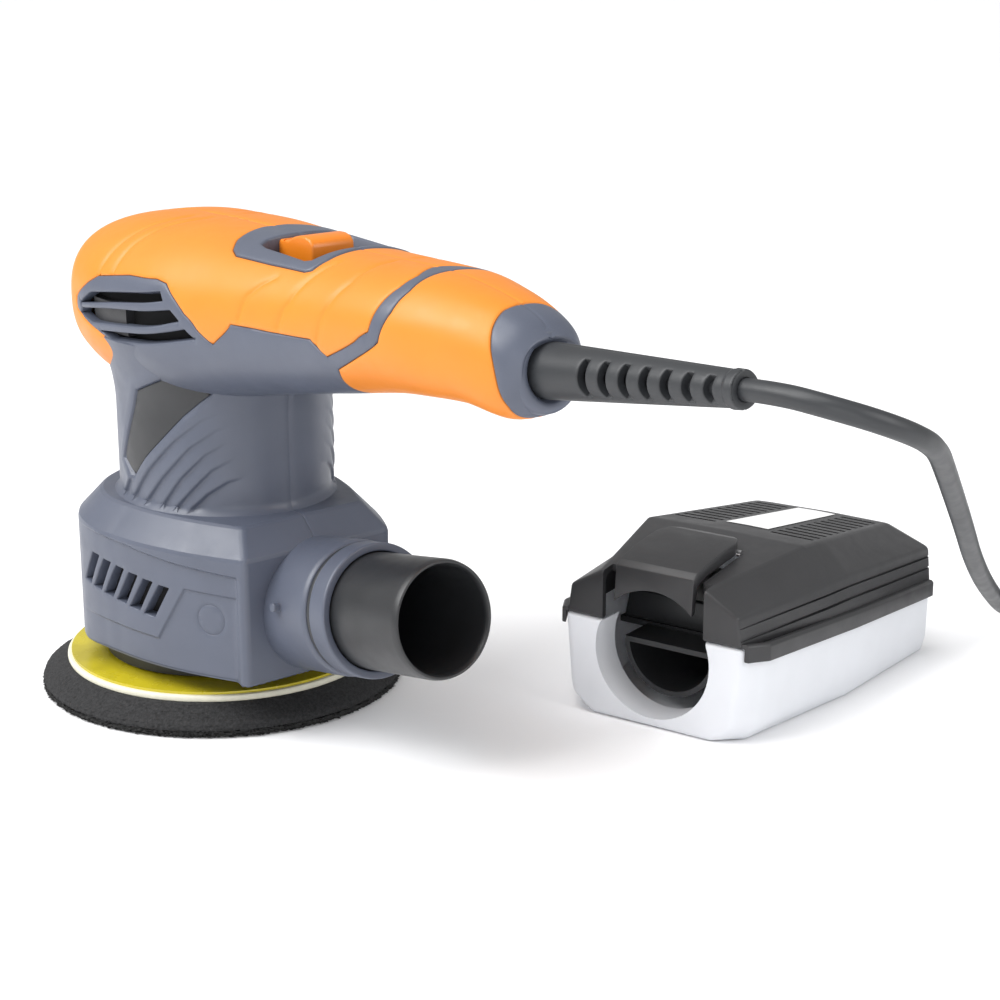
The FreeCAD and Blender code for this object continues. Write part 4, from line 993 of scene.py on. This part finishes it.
BOX = Matrix.Translation((133.8, 79.9, 0)) @ Matrix.Rotation(math.radians(15), 4, "Z")
BOX_Y = (0, 8, 62, 119, 125)
MOUTH_RADIUS, MOUTH_HEIGHT = 21.5, 24.6
RIM_HALF = (33, 37.5, 42, 44.5, 39.5)
LID_ROWS = [  # y, rim half, ridge half and height, top half and height, crown
    (0, 33, 31.5, 43.9, 19.6, 50.6, 51), (47, 40.7, 37.8, 43.4, 30.1, 55.8, 56.2),
    (62, 42, 39.4, 43, 29.3, 53.6, 54), (119, 44.5, 43.2, 39.4, 26.4, 45.3, 45.7),
    (125, 39.5, 38.5, 37.5, 24.5, 43.6, 44),
]


def rim_height(y):
    return 33.5 - 0.065 * y


def plan_loop(halves, inset, heights):
    """A plan of the tray, mirror-symmetric, as a closed loop of points."""
    ends = {0: inset, 4: -inset}
    side = [(h - inset, y + ends.get(k, 0), z)
            for k, (y, h, z) in enumerate(zip(BOX_Y, halves, heights))]
    return side + [(-x, y, z) for x, y, z in reversed(side)]


def lofted(loops):
    """A closed solid through loops of equal length, with flat ends."""
    count = len(loops[0])
    verts = np.vstack([np.array(loop, float) for loop in loops])
    faces = [list(range(count))[::-1], [count * (len(loops) - 1) + k for k in range(count)]]
    for row in range(len(loops) - 1):
        a, b = row * count, (row + 1) * count
        faces += [[a + k, a + (k + 1) % count, b + (k + 1) % count, b + k]
                  for k in range(count)]
    return verts, faces


def tray_block(inset, over=0.0):
    rims = [rim_height(y) + over for y in BOX_Y]
    low = 0.02 if inset == 0 else inset
    return lofted([plan_loop((22, 31, 40.5, 42.5, 36), inset, [low] * 5),
                   plan_loop((30, 36, 42, 44, 39), inset, [6 + inset * 0.5] * 5),
                   plan_loop(RIM_HALF, inset, rims)])


def mouth_bore(extra=0.0):
    """What cuts the round mouth out of the front of the box."""
    return prism(disc(0, MOUTH_HEIGHT, MOUTH_RADIUS + extra, 64), -5, 12, (0, 2, 1))


def make_tray():
    shaped("clear_tray", tray_block(0), "clear_plastic", "dust_box", "dust_tray", bevel=1.6,
           cuts=[tray_block(1.8, 6), mouth_bore()], place=BOX)
    mouth = (BOX @ Matrix.Translation((0, 0, MOUTH_HEIGHT))
             @ Matrix.Rotation(math.radians(-90), 4, "X"))
    verts, faces = turned([(MOUTH_RADIUS, 12), (MOUTH_RADIUS, 0.3), (23.2, 0.3), (23.3, 12),
                           (MOUTH_RADIUS, 12)], mouth, 0.5, 96)
    below_lid = [f for f in faces if max(verts[i][2] for i in f) < 33.2]
    solid("mouth_ring", (verts, below_lid), "clear_plastic", "dust_box")


def lid_block(inset):
    loops = []
    for k, (y, rim, ridge, ridge_z, top, top_z, crown) in enumerate(LID_ROWS):
        low = rim_height(y) + 0.3 - (3 if inset else 0)
        shift = inset if k == 0 else (-inset if k == len(LID_ROWS) - 1 else 0)
        side = [(rim - inset, low), (ridge - inset, ridge_z - inset * 0.5),
                (top - inset * 0.6, top_z - inset)]
        loops.append([(x, y + shift, z) for x, z in side] + [(0, y + shift, crown - inset)]
                     + [(-x, y + shift, z) for x, z in reversed(side)])
    return lofted(loops)


def top_at(y):
    rows = np.array(LID_ROWS)
    return [float(np.interp(y, rows[:, 0], rows[:, k])) for k in range(7)]


def make_lid():
    slot = prism([(-15.4, -5), (15.4, -5), (15.4, 31), (13, 34), (-13, 34), (-15.4, 31)], 20, 80)
    arch = block((-19, -5, 20), (19, 6, 80))
    grooves = []
    for sign in (-1, 1):
        for k in range(11):
            y = 60 + 5.4 * k
            top, top_z = top_at(y)[4:6]
            floor = top_z - 0.9
            grooves.append(prism([(y - 1.0, floor), (y + 1.0, floor - 0.15),
                                  (y + 1.0, top_z + 4), (y - 1.0, top_z + 4)],
                                 sign * 10.8, sign * (top - 2.6), (1, 2, 0)))
    # two long grooves under the ridge on each side
    for sign in (-1, 1):
        for drop, width in ((3.4, 0.7), (7.4, 0.9)):
            line = []
            for y in (-4, 62, 119, 130):
                rim, ridge, ridge_z = top_at(min(max(y, 0), 125))[1:4]
                share = drop / (ridge_z - rim_height(y))
                line.append((sign * (ridge + (rim - ridge) * share), y, ridge_z - drop))
            loops = [[(x - sign * 0.7, y, z - width / 2), (x + sign * 3, y, z - width / 2),
                      (x + sign * 3, y, z + width / 2), (x - sign * 0.7, y, z + width / 2)]
                     for x, y, z in line]
            grooves.append(lofted(loops))
    shaped("lid_shell", lid_block(0), "dark_grey_plastic", "box_lid", "dust_lid", bevel=1.1,
           cuts=[lid_block(2.0), arch, slot, mouth_bore()] + grooves, place=BOX)
    for k, sign in enumerate((-1, 1)):
        loops = []
        for y in (0.6, 8, 62, 118):
            half = float(np.interp(y, BOX_Y, RIM_HALF))
            z = rim_height(y)
            inner, outer = half + 0.3, half + 1.9
            loops.append([(sign * inner, y, z - 4), (sign * outer, y, z - 4),
                          (sign * outer, y, z + 1.2), (sign * (outer - 0.8), y, z + 2.0),
                          (sign * (inner - 1), y, z + 2.0), (sign * (inner - 1), y, z + 0.4),
                          (sign * inner, y, z + 0.3)])
        shaped(f"lid_skirt_{k}", lofted(loops), "dark_grey_plastic", "box_lid", bevel=0.4,
               place=BOX)
    verts = []
    for half, y in ((8.2, 62.5), (7.5, 116)):
        top, top_z, crown = top_at(y)[4:]
        verts += [(a, y, crown - (crown - top_z) * abs(a) / top + 0.2) for a in (-half, 0, half)]
    sheet = np.array(verts) @ np.array(BOX.to_3x3()).T + np.array(BOX.translation)
    solid("lid_window", (sheet, [[0, 1, 4, 3], [1, 2, 5, 4]]), "white_paper", "box_lid",
          "lid_label_plate")


def make_latch():
    side = [(-0.4, 40), (2.0, 40), (3.6, 50), (10, 52.4), (35, 55.2), (36.2, 56.4),
            (35.8, 58.2), (32, 58.9), (24, 58.6), (12, 57), (3.4, 54.9), (1, 53.2)]
    corners = [prism([(14.7, 40), (14.7, 28), (12.6, 33), (9.5, 36.3), (9.5, 40)], 20, 80),
               prism([(-14.7, 40), (-9.5, 40), (-9.5, 36.3), (-12.6, 33), (-14.7, 28)], 20, 80)]
    shaped("latch_cap", prism(side, -14.6, 14.6, (1, 2, 0)), "dark_grey_plastic", "latch",
           "latch_tongue", soft_cuts=[mouth_bore(0.6)] + corners, bevel=1.1, place=BOX)
    axle = prism(disc(31, 54.6, 1, 24), -15.3, 15.3, (1, 2, 0))
    shaped("latch_axle", axle, "steel", "box_lid", "latch_pin", place=BOX)
    cover = prism([(-27, 25.9), (27, 25.9), (25, 36), (-25, 36)], 27, 29.6, (0, 2, 1))
    shaped("filter_front", cover, "black_plastic", "dust_box", bevel=0.5, place=BOX)


# -------- cord

ROUTE = [  # from the strain relief down to the floor
    (247.4, 0, 146.3), (259.3, 0, 147.3), (271, 3, 146), (280, 12, 142.5), (282.5, 25, 137),
    (277.5, 38.5, 130.5), (267, 55.5, 120), (254.5, 76, 106.5), (241, 99, 90), (227, 122, 73.5),
    (213, 146, 58), (199, 170, 44.5), (185.5, 193.5, 32), (173, 216, 21.5), (162, 236.5, 12.5),
    (153, 254.5, 6.5), (145.5, 271.5, 3.3), (139, 287.5, 3),
]
CORD_RADIUS = 3
COIL = (177, 296)
COIL_REACH, COIL_COLUMNS, COIL_STEPS = 39, 3, 16
COIL_START, COIL_TURNS = 193.0, 6.97
TAIL_ROUTE = [(141, 314, 14.4), (149, 334, 10.5), (161, 352, 7.6), (177, 361, 7)]


def coil_slot(lap):
    """Layer and radius of one turn: outer to inner in one layer, inner to outer in the next."""
    layer, column = divmod(min(lap, 6), COIL_COLUMNS)
    if layer % 2:
        column = COIL_COLUMNS - 1 - column
    return layer, COIL_REACH - 2 * CORD_RADIUS * column


def make_cord():
    """One long cord: down from the relief, coiled clockwise on the floor, out to the plug."""
    points = list(ROUTE)
    for k in range(1, int(COIL_TURNS * COIL_STEPS) + 1):
        turn = k / COIL_STEPS
        lap = math.floor(turn)
        share = turn - lap
        (layer, here), (next_layer, there) = coil_slot(lap), coil_slot(lap + 1)
        ease = share * share * (3 - 2 * share)
        radius = here + (there - here) * ease
        height = CORD_RADIUS * (1 + 2 * layer) + 2 * CORD_RADIUS * (next_layer - layer) * ease
        angle = math.radians(COIL_START - 360 * turn)
        points.append((COIL[0] + radius * math.cos(angle), COIL[1] + radius * math.sin(angle),
                       min(height, 5 * CORD_RADIUS)))
    points += TAIL_ROUTE
    curve = bpy.data.curves.new("mains_cord", "CURVE")
    curve.dimensions = "3D"
    curve.bevel_depth = 1  # times each point's radius, which is the cord's own
    curve.bevel_resolution = 6
    curve.use_fill_caps = True
    line = curve.splines.new("NURBS")
    line.points.add(len(points) - 1)
    for knot, point in zip(line.points, points):
        knot.co = (*(np.array(point) * MM), 1)
        knot.radius = CORD_RADIUS * MM
    line.order_u = 3
    line.use_endpoint_u = True
    line.resolution_u = 8
    cord = dress(bpy.data.objects.new("mains_cord", curve), "black_rubber", "housing")
    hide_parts("cord_lead", "cord_coil", "cord_tail")
    return cord


def make_plug():
    outline = [(0, -5), (8, -8), (12, -16), (26, -17.5), (36, -17.5), (36, 17.5), (26, 17.5),
               (12, 16), (8, 8), (0, 5)]
    way = Vector((16, 9, 0)).normalized()
    place = (Matrix.Translation(TAIL_ROUTE[-1])
             @ Matrix.Rotation(math.atan2(way.y, way.x), 4, "Z"))
    return shaped("plug_shell", prism(outline, -6.9, 6.9), "black_plastic", "housing",
                  "plug_body", bevel=2.2, steps=4, place=place)


make_stage()
make_casing()
make_outlet()
make_relief()
make_pad()
make_slider()
make_tray()
make_lid()
make_latch()
CORD = make_cord()
PLUG = make_plug()
for row in frame["record"]["subparts"]:
    node = frame["nodes"][row["node"]]
    node.data.materials.clear()
    node.data.materials.append(FINISHES[row["material_slot"]])
